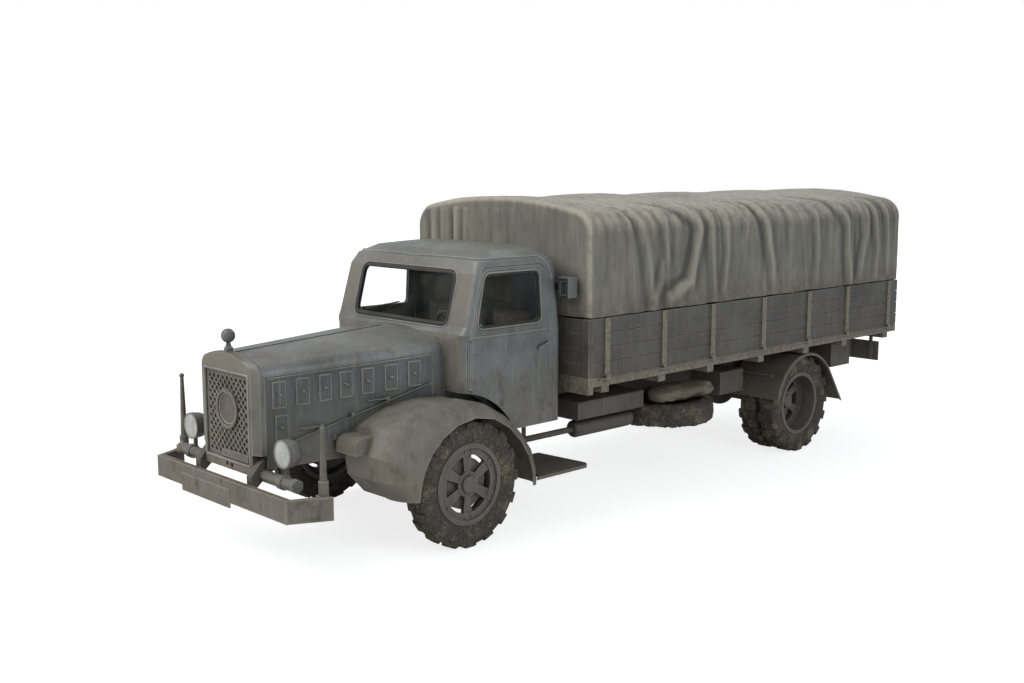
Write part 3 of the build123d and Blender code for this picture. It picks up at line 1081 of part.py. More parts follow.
# ---- doors: the body's own panel, front hinged, cut over the mudguard; glass in the window -
HINGE_X = FRONT_AXLE_X - 124
HINGE_Y = 866
HINGE_BALL_RADIUS = 17
HANDLE_X = DOOR_REAR_X + 22
HANDLE_Z = 1506
with BuildPart() as left_door:
    extrude(door_outline(MOVE_CLEAR), amount=-1000)
    add(cab_outer.part, mode=Mode.INTERSECT)
    add(cab_inner.part, mode=Mode.SUBTRACT)
    with Locations((0, 0, 0)):
        Box(3 * WHEELBASE, 2 * SIDE_CUT_Y, 6000, mode=Mode.SUBTRACT)
    add(side_windows.part, mode=Mode.SUBTRACT)
    for hinge_z in (1208, 1603):
        with Locations((HINGE_X - 34, HINGE_Y, hinge_z)):
            Sphere(HINGE_BALL_RADIUS)
    with BuildSketch(Plane(origin=(HANDLE_X, 870, HANDLE_Z), z_dir=(0, 1, 0))):
        Circle(13)
    extrude(amount=44)
    with Locations((HANDLE_X, 908, HANDLE_Z)):
        Box(118, 14, 18, align=(Align.MIN, Align.CENTER, Align.CENTER), rotation=(0, 17, 0))
left_door.part.label = "left_door"
export_step(left_door.part, "parts/left_door.step")

with BuildPart() as left_door_glass:
    add(pane_shell.part)
    add(side_windows.part, mode=Mode.INTERSECT)
    with Locations((0, 0, 0)):
        Box(3 * WHEELBASE, 4000, 8000, align=(Align.CENTER, Align.MAX, Align.CENTER),
            mode=Mode.SUBTRACT)
left_door_glass.part.label = "left_door_glass"
export_step(left_door_glass.part, "parts/left_door_glass.step")

for name, left in (("right_door", left_door), ("right_door_glass", left_door_glass)):
    with BuildPart() as right:
        mirror(left.part, about=Plane.XZ)
    right.part.label = name
    export_step(right.part, "parts/" + name + ".step")

# ---- cab fittings: dashboard, seats, steering wheel and the indicator boxes ----------------
FLOOR_Z = CAB_BOTTOM_Z + CAB_WALL
SEAT_Z = 1215
WHEEL_CENTRE = (FRONT_AXLE_X - 470, 400, 1600)
STEERING_RADIUS = 235
STEERING_LEAN = 42
# middle across the cab, width of the cushion, middle and width of the base
SEATS = ((420, 520, 400, 360), (-300, 820, -290, 580))
with BuildPart() as seats:
    for seat_y, seat_width, base_y, base_width in SEATS:
        with Locations((FRONT_AXLE_X - 800, base_y, FLOOR_Z)):
            Box(430, base_width, 230, align=(Align.CENTER, Align.CENTER, Align.MIN))
        with Locations((FRONT_AXLE_X - 780, seat_y, FLOOR_Z + 230)):
            Box(480, seat_width, 120, align=(Align.CENTER, Align.CENTER, Align.MIN))
        with Locations((FRONT_AXLE_X - 1035, seat_y, FLOOR_Z + 350)):
            Box(110, seat_width, 560, align=(Align.CENTER, Align.CENTER, Align.MIN))
    fillet(edges().filter_by(Axis.Y).group_by(Axis.Z)[-1], 30)
    Box(3 * WHEELBASE, 2 * TUNNEL_HALF, 2 * TUNNEL_TOP_Z, mode=Mode.SUBTRACT)
seats.part.label = "seats"
export_step(seats.part, "parts/seats.step")

steering_plane = Plane(origin=WHEEL_CENTRE, x_dir=(0, 1, 0),
                       z_dir=(-cos(radians(STEERING_LEAN)), 0, sin(radians(STEERING_LEAN))))
with BuildPart(steering_plane) as steering_wheel:
    Torus(STEERING_RADIUS, 14)
    for spoke_angle in (0, 60, 120):
        Box(2 * STEERING_RADIUS, 22, 10, rotation=(0, 0, spoke_angle))
    Cylinder(36, 40)
    Cylinder(20, 465.5, align=(Align.CENTER, Align.CENTER, Align.MAX))
steering_wheel.part.label = "steering_wheel"
export_step(steering_wheel.part, "parts/steering_wheel.step")

SIGNAL_X = FRONT_AXLE_X - 1160
with BuildPart() as signal_boxes:
    with Locations((SIGNAL_X, CAB_HALF_WIDTH + 6, 1955)):
        Box(110, 110, 170, align=(Align.CENTER, Align.MIN, Align.CENTER))
    fillet(edges().filter_by(Axis.Y), 12)
    with Locations((SIGNAL_X + 55, CAB_HALF_WIDTH + 58, 1950)):
        Box(40, 62, 110, mode=Mode.SUBTRACT)
    with Locations((CAB_REAR_X, CAB_HALF_WIDTH - 110, 1955)):
        Box(16, 130, 60, align=(Align.MAX, Align.MIN, Align.CENTER))
    mirror(about=Plane.XZ)
signal_boxes.part.label = "signal_boxes"
export_step(signal_boxes.part, "parts/signal_boxes.step")

# ---- front mudguards: a domed arch with a full nose, its inner edge against the bonnet -----
FENDER_GAUGE = 10
FENDER_FLAT_Y = 800
# angle about the axle from straight ahead, crown radius, radius of the outer lip
FENDER_SECTIONS = (
    (-2, 650, 560), (10, 800, 552), (22, 872, 546), (36, 872, 542), (52, 785, 540), (70, 698, 538),
    (90, FENDER_CREST + 8, 538), (112, FENDER_CREST - 8, 538), (132, FENDER_CREST, 540),
    (150, 674, 556), (166, 732, 588), (180, 765, 614), (190, 785, 630),
)


def fender_section(angle, crown, lip):
    """One radial section of the left mudguard."""
    ray = radians(angle)
    plane = Plane(origin=(FRONT_AXLE_X, 0, TYRE_RADIUS), x_dir=(0, 1, 0),
                  z_dir=(sin(ray), 0, -cos(ray)))
    inner = []
    for radius in (crown, crown - FENDER_GAUGE):
        inner_x = FRONT_AXLE_X + radius * cos(ray)
        inner.append(FENDER_INNER_Y + 0.5 if inner_x < HOOD_REAR_X - 40 else hood_y(inner_x) + 0.5)
    drop = crown - lip
    with BuildSketch(plane) as section:
        with BuildLine():
            Line((inner[0], crown), (FENDER_FLAT_Y, crown))
            ThreePointArc((FENDER_FLAT_Y, crown),
                          (FENDER_FLAT_Y + 0.76 * (FENDER_OUTER_Y - FENDER_FLAT_Y),
                           lip + 0.65 * drop),
                          (FENDER_OUTER_Y, lip))
            Line((FENDER_OUTER_Y, lip), (FENDER_OUTER_Y - FENDER_GAUGE, lip))
            ThreePointArc((FENDER_OUTER_Y - FENDER_GAUGE, lip),
                          (FENDER_FLAT_Y + 0.76 * (FENDER_OUTER_Y - FENDER_FLAT_Y) - FENDER_GAUGE,
                           lip + 0.65 * drop - 0.8 * FENDER_GAUGE),
                          (FENDER_FLAT_Y, crown - FENDER_GAUGE))
            Polyline((FENDER_FLAT_Y, crown - FENDER_GAUGE), (inner[1], crown - FENDER_GAUGE),
                     (inner[0], crown))
        make_face()
    return section.sketch


# round-topped box on the mudguard's nose: rear and front ahead of the axle, inner and outer
# side, bottom and top
NOSE_BOX = ((745, 900), (530, 770), (835, 965))
with BuildPart() as nose_box:
    with Locations((FRONT_AXLE_X + NOSE_BOX[0][0], NOSE_BOX[1][0], NOSE_BOX[2][0])):
        Box(NOSE_BOX[0][1] - NOSE_BOX[0][0], NOSE_BOX[1][1] - NOSE_BOX[1][0],
            NOSE_BOX[2][1] - NOSE_BOX[2][0], align=(Align.MIN, Align.MIN, Align.MIN))
    fillet(edges().filter_by(Axis.Y).group_by(Axis.X)[-1].sort_by(Axis.Z)[-1], 80)
with BuildPart() as front_fenders:
    loft([fender_section(*row) for row in FENDER_SECTIONS], ruled=True)
    add(nose_box.part)
    mirror(about=Plane.XZ)
front_fenders.part.label = "front_fenders"
export_step(front_fenders.part, "parts/front_fenders.step")

# ---- step plates under the doors, on a bracket from the frame ------------------------------
STEP_Z = 450
with BuildPart() as step_plates:
    with BuildSketch(Plane.XY.offset(STEP_Z - 24)):
        with BuildLine():
            Polyline((FRONT_AXLE_X - 790, 490), (FRONT_AXLE_X - 1280, 490),
                     (FRONT_AXLE_X - 1330, 1085), (FRONT_AXLE_X - 665, 1085),
                     (FRONT_AXLE_X - 690, 1075), (FRONT_AXLE_X - 745, 1020),
                     (FRONT_AXLE_X - 790, 850), close=True)
        make_face()
        fillet(vertices().group_by(Axis.Y)[-1].sort_by(Axis.X)[0], 90)
    extrude(amount=24)
    for hanger_x in (FRONT_AXLE_X - 860, FRONT_AXLE_X - 1180):
        with Locations((hanger_x, RAIL_OUTER_Y, STEP_Z - 24)):
            Box(40, 16, RAIL_BOTTOM_Z + 90 - STEP_Z, align=(Align.CENTER, Align.MIN, Align.MIN))
        with Locations((hanger_x, RAIL_OUTER_Y, STEP_Z - 40)):
            Box(40, 300, 17, align=(Align.CENTER, Align.MIN, Align.MIN))
    mirror(about=Plane.XZ)
step_plates.part.label = "step_plates"
export_step(step_plates.part, "parts/step_plates.step")

# ---- rear mudguards: a rolled arch over the twin wheels with a straight flared tail --------
REAR_FENDER_IN = 530
REAR_FENDER_GAUGE = 8
REAR_FENDER_RADIUS = 530
REAR_FENDER_START = 12
REAR_FENDER_END = 145
REAR_TAIL = 420
BEARER_BOTTOM_Z = 1052
with BuildPart() as rear_fenders:
    start = radians(REAR_FENDER_START)
    start_plane = Plane(origin=(REAR_AXLE_X, 0, TYRE_RADIUS), x_dir=(cos(start), 0, sin(start)),
                        z_dir=(-sin(start), 0, cos(start)))
    with BuildSketch(start_plane) as lip:
        Polygon((REAR_FENDER_RADIUS, REAR_FENDER_IN),
                (REAR_FENDER_RADIUS, FENDER_OUTER_Y - REAR_FENDER_GAUGE),
                (REAR_FENDER_RADIUS - 20, FENDER_OUTER_Y - REAR_FENDER_GAUGE),
                (REAR_FENDER_RADIUS - 20, FENDER_OUTER_Y),
                (REAR_FENDER_RADIUS, FENDER_OUTER_Y),
                (REAR_FENDER_RADIUS + REAR_FENDER_GAUGE, FENDER_OUTER_Y - 10),
                (REAR_FENDER_RADIUS + REAR_FENDER_GAUGE, REAR_FENDER_IN), align=None)
    revolve(lip.sketch, axis=Axis((REAR_AXLE_X, 0, TYRE_RADIUS), (0, -1, 0)),
            revolution_arc=REAR_FENDER_END - REAR_FENDER_START)
    tail = lip.sketch.rotate(Axis((REAR_AXLE_X, 0, TYRE_RADIUS), (0, -1, 0)),
                             REAR_FENDER_END - REAR_FENDER_START)
    end = radians(REAR_FENDER_END)
    extrude(tail, amount=REAR_TAIL, dir=(-sin(end), 0, cos(end)))
    # stays from the rail, over the crown at front and rear
    for stay_angle in (38, 142):
        stay = radians(stay_angle)
        with Locations((REAR_AXLE_X + (REAR_FENDER_RADIUS + 18) * cos(stay), RAIL_OUTER_Y,
                        TYRE_RADIUS + (REAR_FENDER_RADIUS + 18) * sin(stay))):
            Cylinder(14, 560, align=(Align.CENTER, Align.CENTER, Align.MIN), rotation=(-90, 0, 0))
    mirror(about=Plane.XZ)
rear_fenders.part.label = "rear_fenders"
export_step(rear_fenders.part, "parts/rear_fenders.step")

# ---- under the bed: side boxes, silencer and pipe, spare wheel and the roll stowed on it ---
SIDE_BOX_OUT_Y = 760
# front edge and rear edge behind the front axle, bottom, top
SIDE_BOXES = ((1500, 2380, 742, 905), (3560, 3940, 690, 925))
with BuildPart() as side_boxes:
    for front, rear, low, high in SIDE_BOXES:
        with Locations((FRONT_AXLE_X - front, RAIL_OUTER_Y, low)):
            Box(rear - front, SIDE_BOX_OUT_Y - RAIL_OUTER_Y, high - low,
                align=(Align.MAX, Align.MIN, Align.MIN))
    fillet(edges().filter_by(Axis.X), 14)
    mirror(about=Plane.XZ)
side_boxes.part.label = "side_boxes"
export_step(side_boxes.part, "parts/side_boxes.step")

SILENCER_Y = 620
SILENCER_Z = 636
SILENCER_RADIUS = 78
with BuildPart() as exhaust:
    with Locations((FRONT_AXLE_X - 1560, SILENCER_Y, SILENCER_Z)):
        Cylinder(SILENCER_RADIUS, 780, rotation=(0, -90, 0),
                 align=(Align.CENTER, Align.CENTER, Align.MIN))
    fillet(edges().filter_by(GeomType.CIRCLE), 40)
    with Locations((FRONT_AXLE_X - 1600, SILENCER_Y, SILENCER_Z)):
        Cylinder(27, 700, rotation=(0, 90, 0), align=(Align.CENTER, Align.CENTER, Align.MIN))
    for strap in (1700, 2200):
        with Locations((FRONT_AXLE_X - strap, SILENCER_Y, SILENCER_Z)):
            Box(44, 26, SIDE_BOXES[0][2] - SILENCER_Z - 0.3,
                align=(Align.CENTER, Align.CENTER, Align.MIN))
exhaust.part.label = "exhaust"
export_step(exhaust.part, "parts/exhaust.step")

SPARE_X = FRONT_AXLE_X - 2900
SPARE_Y = 560
SPARE_Z = 640
ROLL_HALF = (430, 165, 88)
with BuildPart() as spare_wheel:
    with Locations((SPARE_X, SPARE_Y, SPARE_Z)):
        add(plain_tyre.part)
        Cylinder(RIM_RADIUS - 0.3, 2 * BEAD_OUT)
        Cylinder(RIM_RADIUS - 40, BEAD_OUT, align=(Align.CENTER, Align.CENTER, Align.MIN),
                 mode=Mode.SUBTRACT)
    # stud and bracket that hang the wheel from the rail, and the dished pan below it
    with Locations((SPARE_X, SPARE_Y, SPARE_Z - 10)):
        Cylinder(26, RAIL_BOTTOM_Z + 30 - SPARE_Z, align=(Align.CENTER, Align.CENTER, Align.MIN))
    with Locations((SPARE_X, RAIL_OUTER_Y, RAIL_BOTTOM_Z + 10)):
        Box(90, SPARE_Y + 30 - RAIL_OUTER_Y, 30, align=(Align.CENTER, Align.MIN, Align.MIN))
    with Locations((SPARE_X, SPARE_Y, SPARE_Z - BEAD_OUT)):
        Cone(220, 150, 60, align=(Align.CENTER, Align.CENTER, Align.MAX), rotation=(180, 0, 0))
spare_wheel.part.label = "spare_wheel"
export_step(spare_wheel.part, "parts/spare_wheel.step")

with BuildPart() as stowed_roll:
    with Locations((SPARE_X, SPARE_Y + 225, SPARE_Z + HALF_TYRE + 1 + SOFT_CLEAR)):
        Box(2 * ROLL_HALF[0], 2 * ROLL_HALF[1], 2 * ROLL_HALF[2],
            align=(Align.CENTER, Align.CENTER, Align.MIN))
    fillet(edges().filter_by(Axis.X), 60)
stowed_roll.part.label = "stowed_roll"
export_step(stowed_roll.part, "parts/stowed_roll.step")

# ---- bed: runners on the rails, cross bearers, planked floor, side raves and hinge rods ----
EYE_HALF = 13
TAIL_HINGE_X = REAR_END_X + EYE_HALF
HINGE_SETBACK = GATE_HINGE_Y - GATE_OUTER_Y
TAIL_OUTER_X = TAIL_HINGE_X + HINGE_SETBACK
RAVE_OUTER_Y = GATE_OUTER_Y
RAVE_WIDTH = 42
RAVE_TOP_Z = GATE_HINGE_Z + 18
RAVE_BOTTOM_Z = 1112
FLOOR_GAUGE = 40
RUNNER_WIDTH = 90
ROD_RADIUS = 6
EYE_LENGTH = 44
LUG_THICK = 12
HEADBOARD_THICK = 40
# strap positions, behind the front axle
STRAPS = (1465, 2220, 2930, 3745, 4540, 5280, 6140)
TAIL_STRAPS = (-900, -300, 300, 900)
BED_LENGTH = BED_FRONT_X - TAIL_OUTER_X
PLANKS = 4
PLANK_GAP = 5
BOARD_LOW_Z = RAVE_TOP_Z + MOVE_CLEAR
PLANK_PITCH = (BOARD_TOP_Z - BOARD_LOW_Z + PLANK_GAP) / PLANKS
# bows: outer half width, bar section, places behind the front axle, pockets in the floor
BOW_HALF = GATE_OUTER_Y - GATE_THICK - MOVE_CLEAR - 6
BOW_GAUGE = 28
BOW_WIDTH = 45
BOWS = (1345, 2570, 3795, 5020, 6245)
BOW_FOOT_DEPTH = 20
BOW_FOOT_CLEAR = 0.4
POCKET_INNER_Y = BOW_HALF - BOW_GAUGE - BOW_FOOT_CLEAR
with BuildPart() as bed_floor:
    for side in (-1, 1):
        with Locations((TAIL_OUTER_X, side * (RAIL_OUTER_Y - 10), RAIL_TOP_Z)):
            Box(BED_LENGTH, RUNNER_WIDTH, BEARER_BOTTOM_Z - RAIL_TOP_Z,
                align=(Align.MIN, Align.CENTER, Align.MIN))
        with Locations((TAIL_OUTER_X, side * RAVE_OUTER_Y, RAVE_BOTTOM_Z)):
            Box(BED_LENGTH, RAVE_WIDTH, RAVE_TOP_Z - RAVE_BOTTOM_Z,
                align=(Align.MIN, Align.MAX if side > 0 else Align.MIN, Align.MIN))
    for strap in STRAPS:
        with Locations((FRONT_AXLE_X - strap, 0, BEARER_BOTTOM_Z)):
            Box(90, 2 * (RAVE_OUTER_Y - 8), FLOOR_TOP_Z - FLOOR_GAUGE - BEARER_BOTTOM_Z + 2,
                align=(Align.CENTER, Align.CENTER, Align.MIN))
    with Locations((TAIL_OUTER_X, 0, FLOOR_TOP_Z)):
        Box(BED_LENGTH, 2 * (RAVE_OUTER_Y - RAVE_WIDTH + 2), FLOOR_GAUGE,
            align=(Align.MIN, Align.CENTER, Align.MAX))
    with Locations((BED_FRONT_X, 0, BEARER_BOTTOM_Z)):
        Box(60, 2 * RAVE_OUTER_Y, RAVE_TOP_Z - BEARER_BOTTOM_Z,
            align=(Align.MAX, Align.CENTER, Align.MIN))
    # pockets that take the feet of the bows, open to the raves
    for bow in BOWS:
        for side in (-1, 1):
            with Locations((FRONT_AXLE_X - bow, side * POCKET_INNER_Y, FLOOR_TOP_Z)):
                Box(BOW_WIDTH + 2 * BOW_FOOT_CLEAR, RAVE_OUTER_Y - RAVE_WIDTH - POCKET_INNER_Y,
                    BOW_FOOT_DEPTH, align=(Align.CENTER, Align.MIN if side > 0 else Align.MAX, Align.MAX),
                    mode=Mode.SUBTRACT)
    # hinge rods along both raves and the rear edge, carried by lugs beside each strap
    for side in (-1, 1):
        with Locations((TAIL_OUTER_X + 60, side * GATE_HINGE_Y, GATE_HINGE_Z)):
            Cylinder(ROD_RADIUS, BED_LENGTH - 180, rotation=(0, 90, 0),
                     align=(Align.CENTER, Align.CENTER, Align.MIN))
        for strap in STRAPS:
            for end in (-1, 1):
                with Locations((FRONT_AXLE_X - strap + end * (EYE_LENGTH / 2 + 1 + LUG_THICK / 2),
                                side * RAVE_OUTER_Y, GATE_HINGE_Z)):
                    Box(LUG_THICK, GATE_HINGE_Y - RAVE_OUTER_Y + 8, 2 * EYE_HALF - 6,
                        align=(Align.CENTER, Align.MIN if side > 0 else Align.MAX, Align.CENTER))
    with Locations((TAIL_HINGE_X, 0, GATE_HINGE_Z)):
        Cylinder(ROD_RADIUS, 2 * TAIL_STRAPS[-1] + 160, rotation=(90, 0, 0))
    for strap_y in TAIL_STRAPS:
        for end in (-1, 1):
            with Locations((TAIL_OUTER_X, strap_y + end * (EYE_LENGTH / 2 + 1 + LUG_THICK / 2),
                            GATE_HINGE_Z)):
                Box(HINGE_SETBACK + 8, LUG_THICK, 2 * EYE_HALF - 6,
                    align=(Align.MAX, Align.CENTER, Align.CENTER))
    # headboard: four planks between corner posts
    for plank in range(PLANKS):
        with Locations((BED_FRONT_X - 8, 0, RAVE_TOP_Z + plank * (BOARD_TOP_Z - RAVE_TOP_Z) / PLANKS)):
            Box(HEADBOARD_THICK - 8, 2 * RAVE_OUTER_Y - 40,
                (BOARD_TOP_Z - RAVE_TOP_Z) / PLANKS - PLANK_GAP,
                align=(Align.MAX, Align.CENTER, Align.MIN))
    for post_y in (-RAVE_OUTER_Y + 30, -360, 360, RAVE_OUTER_Y - 30):
        with Locations((BED_FRONT_X, post_y, RAVE_TOP_Z)):
            Box(HEADBOARD_THICK + 6, 60, BOARD_TOP_Z - RAVE_TOP_Z,
                align=(Align.MAX, Align.CENTER, Align.MIN))
bed_floor.part.label = "bed_floor"
export_step(bed_floor.part, "parts/bed_floor.step")

# ---- drop sides and tailgate: planks on steel straps that end in hinge eyes ----------------
GATE_FRONT_X = BED_FRONT_X - HEADBOARD_THICK - 6 - MOVE_CLEAR
STRAP_WIDTH = 62
STRAP_GAUGE = GATE_HINGE_Y - GATE_OUTER_Y - 1
with BuildPart() as left_drop_side:
    for plank in range(PLANKS):
        with Locations((GATE_FRONT_X, GATE_OUTER_Y, BOARD_LOW_Z + plank * PLANK_PITCH)):
            Box(GATE_FRONT_X - TAIL_OUTER_X, GATE_THICK, PLANK_PITCH - PLANK_GAP,
                align=(Align.MAX, Align.MAX, Align.MIN))
    for strap in STRAPS:
        with Locations((FRONT_AXLE_X - strap, GATE_OUTER_Y - 4, BOARD_LOW_Z)):
            Box(STRAP_WIDTH, STRAP_GAUGE + 4, BOARD_TOP_Z - BOARD_LOW_Z,
                align=(Align.CENTER, Align.MIN, Align.MIN))
        with Locations((FRONT_AXLE_X - strap, GATE_HINGE_Y, GATE_HINGE_Z)):
            Cylinder(EYE_HALF, EYE_LENGTH, rotation=(0, 90, 0))
            Box(EYE_LENGTH, 2 * EYE_HALF, BOARD_LOW_Z + 20 - GATE_HINGE_Z,
                align=(Align.CENTER, Align.CENTER, Align.MIN))
    with Locations(((GATE_FRONT_X + TAIL_OUTER_X) / 2, GATE_HINGE_Y, GATE_HINGE_Z)):
        Cylinder(ROD_RADIUS + PIN_CLEAR, BED_LENGTH, rotation=(0, 90, 0), mode=Mode.SUBTRACT)
left_drop_side.part.label = "left_drop_side"
export_step(left_drop_side.part, "parts/left_drop_side.step")

with BuildPart() as right_drop_side:
    mirror(left_drop_side.part, about=Plane.XZ)
right_drop_side.part.label = "right_drop_side"
export_step(right_drop_side.part, "parts/right_drop_side.step")

TAILGATE_HALF = GATE_OUTER_Y - GATE_THICK - MOVE_CLEAR
with BuildPart() as tailgate:
    for plank in range(PLANKS):
        with Locations((TAIL_OUTER_X, 0, BOARD_LOW_Z + plank * PLANK_PITCH)):
            Box(GATE_THICK, 2 * TAILGATE_HALF, PLANK_PITCH - PLANK_GAP,
                align=(Align.MIN, Align.CENTER, Align.MIN))
    for strap_y in TAIL_STRAPS:
        with Locations((TAIL_OUTER_X + 4, strap_y, BOARD_LOW_Z)):
            Box(STRAP_GAUGE + 4, STRAP_WIDTH, BOARD_TOP_Z - BOARD_LOW_Z,
                align=(Align.MAX, Align.CENTER, Align.MIN))
        with Locations((TAIL_HINGE_X, strap_y, GATE_HINGE_Z)):
            Cylinder(EYE_HALF, EYE_LENGTH, rotation=(90, 0, 0))
            Box(2 * EYE_HALF, EYE_LENGTH, BOARD_LOW_Z + 20 - GATE_HINGE_Z,
                align=(Align.CENTER, Align.CENTER, Align.MIN))
    with Locations((TAIL_HINGE_X, 0, GATE_HINGE_Z)):
        Cylinder(ROD_RADIUS + PIN_CLEAR, 3 * TAILGATE_HALF, rotation=(90, 0, 0), mode=Mode.SUBTRACT)
tailgate.part.label = "tailgate"
export_step(tailgate.part, "parts/tailgate.step")

# ---- tarpaulin bows: bent flat bars that stand in the floor's pockets inside the drop sides -
TARP_HALF = 1122
TARP_EDGE_Z = 2560
TARP_CORNER = 215


def tarp_outline(x, half, drop, corner, foot):
    """Cross section of the tarpaulin or a bow at x: crowned top with round corners."""
    with BuildSketch(Plane.YZ.offset(x)) as outline:
        with BuildLine():
            Polyline((half, TARP_EDGE_Z - drop), (half, foot), (-half, foot),
                     (-half, TARP_EDGE_Z - drop))
            ThreePointArc((-half, TARP_EDGE_Z - drop), (0, TARP_TOP_Z - drop),
                          (half, TARP_EDGE_Z - drop))
        make_face()
        fillet(outline.vertices().group_by(Axis.Y)[-1], corner)
    return outline.sketch


with BuildPart() as tarp_bows:
    for bow in BOWS:
        bow_x = FRONT_AXLE_X - bow - BOW_WIDTH / 2
        foot_z = FLOOR_TOP_Z - BOW_FOOT_DEPTH
        extrude(tarp_outline(bow_x, BOW_HALF, TARP_GAUGE + SOFT_CLEAR, TARP_CORNER, foot_z),
                amount=BOW_WIDTH)
        extrude(tarp_outline(bow_x, BOW_HALF - BOW_GAUGE, TARP_GAUGE + SOFT_CLEAR + BOW_GAUGE,
                             TARP_CORNER - BOW_GAUGE, foot_z), amount=BOW_WIDTH,
                mode=Mode.SUBTRACT)
tarp_bows.part.label = "tarp_bows"
export_step(tarp_bows.part, "parts/tarp_bows.step")

# ---- tarpaulin: one cover over top, sides and both ends, open below ------------------------
TARP_END_ROUND = 90
TARP_LENGTH = BED_FRONT_X - TAIL_OUTER_X
with BuildPart() as tarp_inside:
    extrude(tarp_outline(TAIL_OUTER_X + TARP_GAUGE, TARP_HALF - TARP_GAUGE, TARP_GAUGE,
                         TARP_CORNER - TARP_GAUGE, HEM_Z - 50), amount=TARP_LENGTH - 2 * TARP_GAUGE)
with BuildPart() as tarp:
    extrude(tarp_outline(TAIL_OUTER_X, TARP_HALF, 0, TARP_CORNER, HEM_Z), amount=TARP_LENGTH)
    add(tarp_inside.part, mode=Mode.SUBTRACT)
tarp.part.label = "tarp"
export_step(tarp.part, "parts/tarp.step")

# ---- rear of the bed: side lockers behind the wheels and the blank number board ------------
with BuildPart() as rear_boxes:
    for side in (-1, 1):
        with Locations((FRONT_AXLE_X - 5470, side * 560, BEARER_BOTTOM_Z)):
            Box(380, 280, BEARER_BOTTOM_Z - 760,
                align=(Align.MAX, Align.MIN if side > 0 else Align.MAX, Align.MAX))
        for strap in (5530, 5790):
            with Locations((FRONT_AXLE_X - strap, side * 700, BEARER_BOTTOM_Z - 5)):
                Box(40, 200, FLOOR_TOP_Z - FLOOR_GAUGE - BEARER_BOTTOM_Z + 4.7,
                    align=(Align.CENTER, Align.CENTER, Align.MIN))
    with Locations((FRONT_AXLE_X - 6100, 830, 790)):
        Box(18, 430, 215, align=(Align.MAX, Align.CENTER, Align.MIN))
    for strap_y in (700, 960):
        with Locations((FRONT_AXLE_X - 6100, strap_y, 800)):
            Box(20, 36, BEARER_BOTTOM_Z - 800, align=(Align.MIN, Align.CENTER, Align.MIN))
rear_boxes.part.label = "rear_boxes"
export_step(rear_boxes.part, "parts/rear_boxes.step")
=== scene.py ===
import random
from math import asin, copysign, cos, pi, radians, sin, sqrt
import bmesh
import bpy
import numpy as np
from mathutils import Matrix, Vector, noise
from mathutils.bvhtree import BVHTree


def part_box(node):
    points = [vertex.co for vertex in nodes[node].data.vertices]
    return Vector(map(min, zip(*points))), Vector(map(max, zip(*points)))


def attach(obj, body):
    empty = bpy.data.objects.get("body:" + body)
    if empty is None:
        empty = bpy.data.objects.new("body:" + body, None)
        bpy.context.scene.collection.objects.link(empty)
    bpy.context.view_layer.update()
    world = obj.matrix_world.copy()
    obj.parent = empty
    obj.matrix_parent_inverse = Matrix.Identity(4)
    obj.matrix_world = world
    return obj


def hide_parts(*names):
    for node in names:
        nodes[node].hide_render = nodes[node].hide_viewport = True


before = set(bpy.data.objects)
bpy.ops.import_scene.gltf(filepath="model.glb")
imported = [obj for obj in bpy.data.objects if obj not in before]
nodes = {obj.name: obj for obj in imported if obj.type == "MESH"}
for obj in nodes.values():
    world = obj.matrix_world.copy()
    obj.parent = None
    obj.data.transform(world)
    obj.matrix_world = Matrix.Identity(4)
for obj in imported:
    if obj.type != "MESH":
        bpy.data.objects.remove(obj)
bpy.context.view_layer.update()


# ---- studio ----
# A pale floor under the parked truck, a broad soft lamp ahead and above, a weaker one from
# the driver's side, and a camera at standing height off the left front corner.
scene = bpy.context.scene
scene.view_settings.view_transform = "Standard"


def put(name, data):
    """A new object in the scene."""
    made = bpy.data.objects.new(name, data)
    scene.collection.objects.link(made)
    return made


lens = bpy.data.cameras.new("camera")
lens.sensor_width = 36
lens.lens = 41.59
lens.clip_end = 200
camera = put("camera", lens)
turn, tilt = radians(226.295), radians(-8.438)
ahead = Vector((cos(turn) * cos(tilt), sin(turn) * cos(tilt), sin(tilt)))
camera.location = (8.2996, 7.6835, 2.9476)
camera.rotation_euler = ahead.to_track_quat("-Z", "Y").to_euler()
scene.camera = camera


def plug(tree, node, inputs):
    """Fills a node's sockets, by name or number, with values or with other nodes' outputs."""
    for key, value in inputs.items():
        if isinstance(value, bpy.types.NodeSocket):
            tree.links.new(value, node.inputs[key])
        else:
            node.inputs[key].default_value = value


def knot(tree, kind, inputs=None, **settings):
    """One shader node with these settings and inputs."""
    made = tree.nodes.new("ShaderNode" + kind)
    for key, value in settings.items():
        setattr(made, key, value)
    plug(tree, made, inputs or {})
    return made


def mesh_of(name, points, faces):
    """A mesh of these points and faces."""
    made = bpy.data.meshes.new(name)
    made.from_pydata(points, [], faces)
    return made


world = bpy.data.worlds.new("sky")
world.use_nodes = True
scene.world = world
sky = world.node_tree
sky.nodes.clear()
seen = knot(sky, "LightPath").outputs
direct = knot(sky, "Math", {0: seen["Is Camera Ray"], 1: seen["Is Transmission Ray"]},
              operation="MAXIMUM")
dull = knot(sky, "Background", {"Color": (0.82, 0.86, 0.92, 1), "Strength": 0.62})
white = knot(sky, "Background", {"Color": (1, 1, 1, 1), "Strength": 1.0})
both = knot(sky, "MixShader", {0: direct.outputs[0], 1: dull.outputs[0], 2: white.outputs[0]})
knot(sky, "OutputWorld", {"Surface": both.outputs[0]})

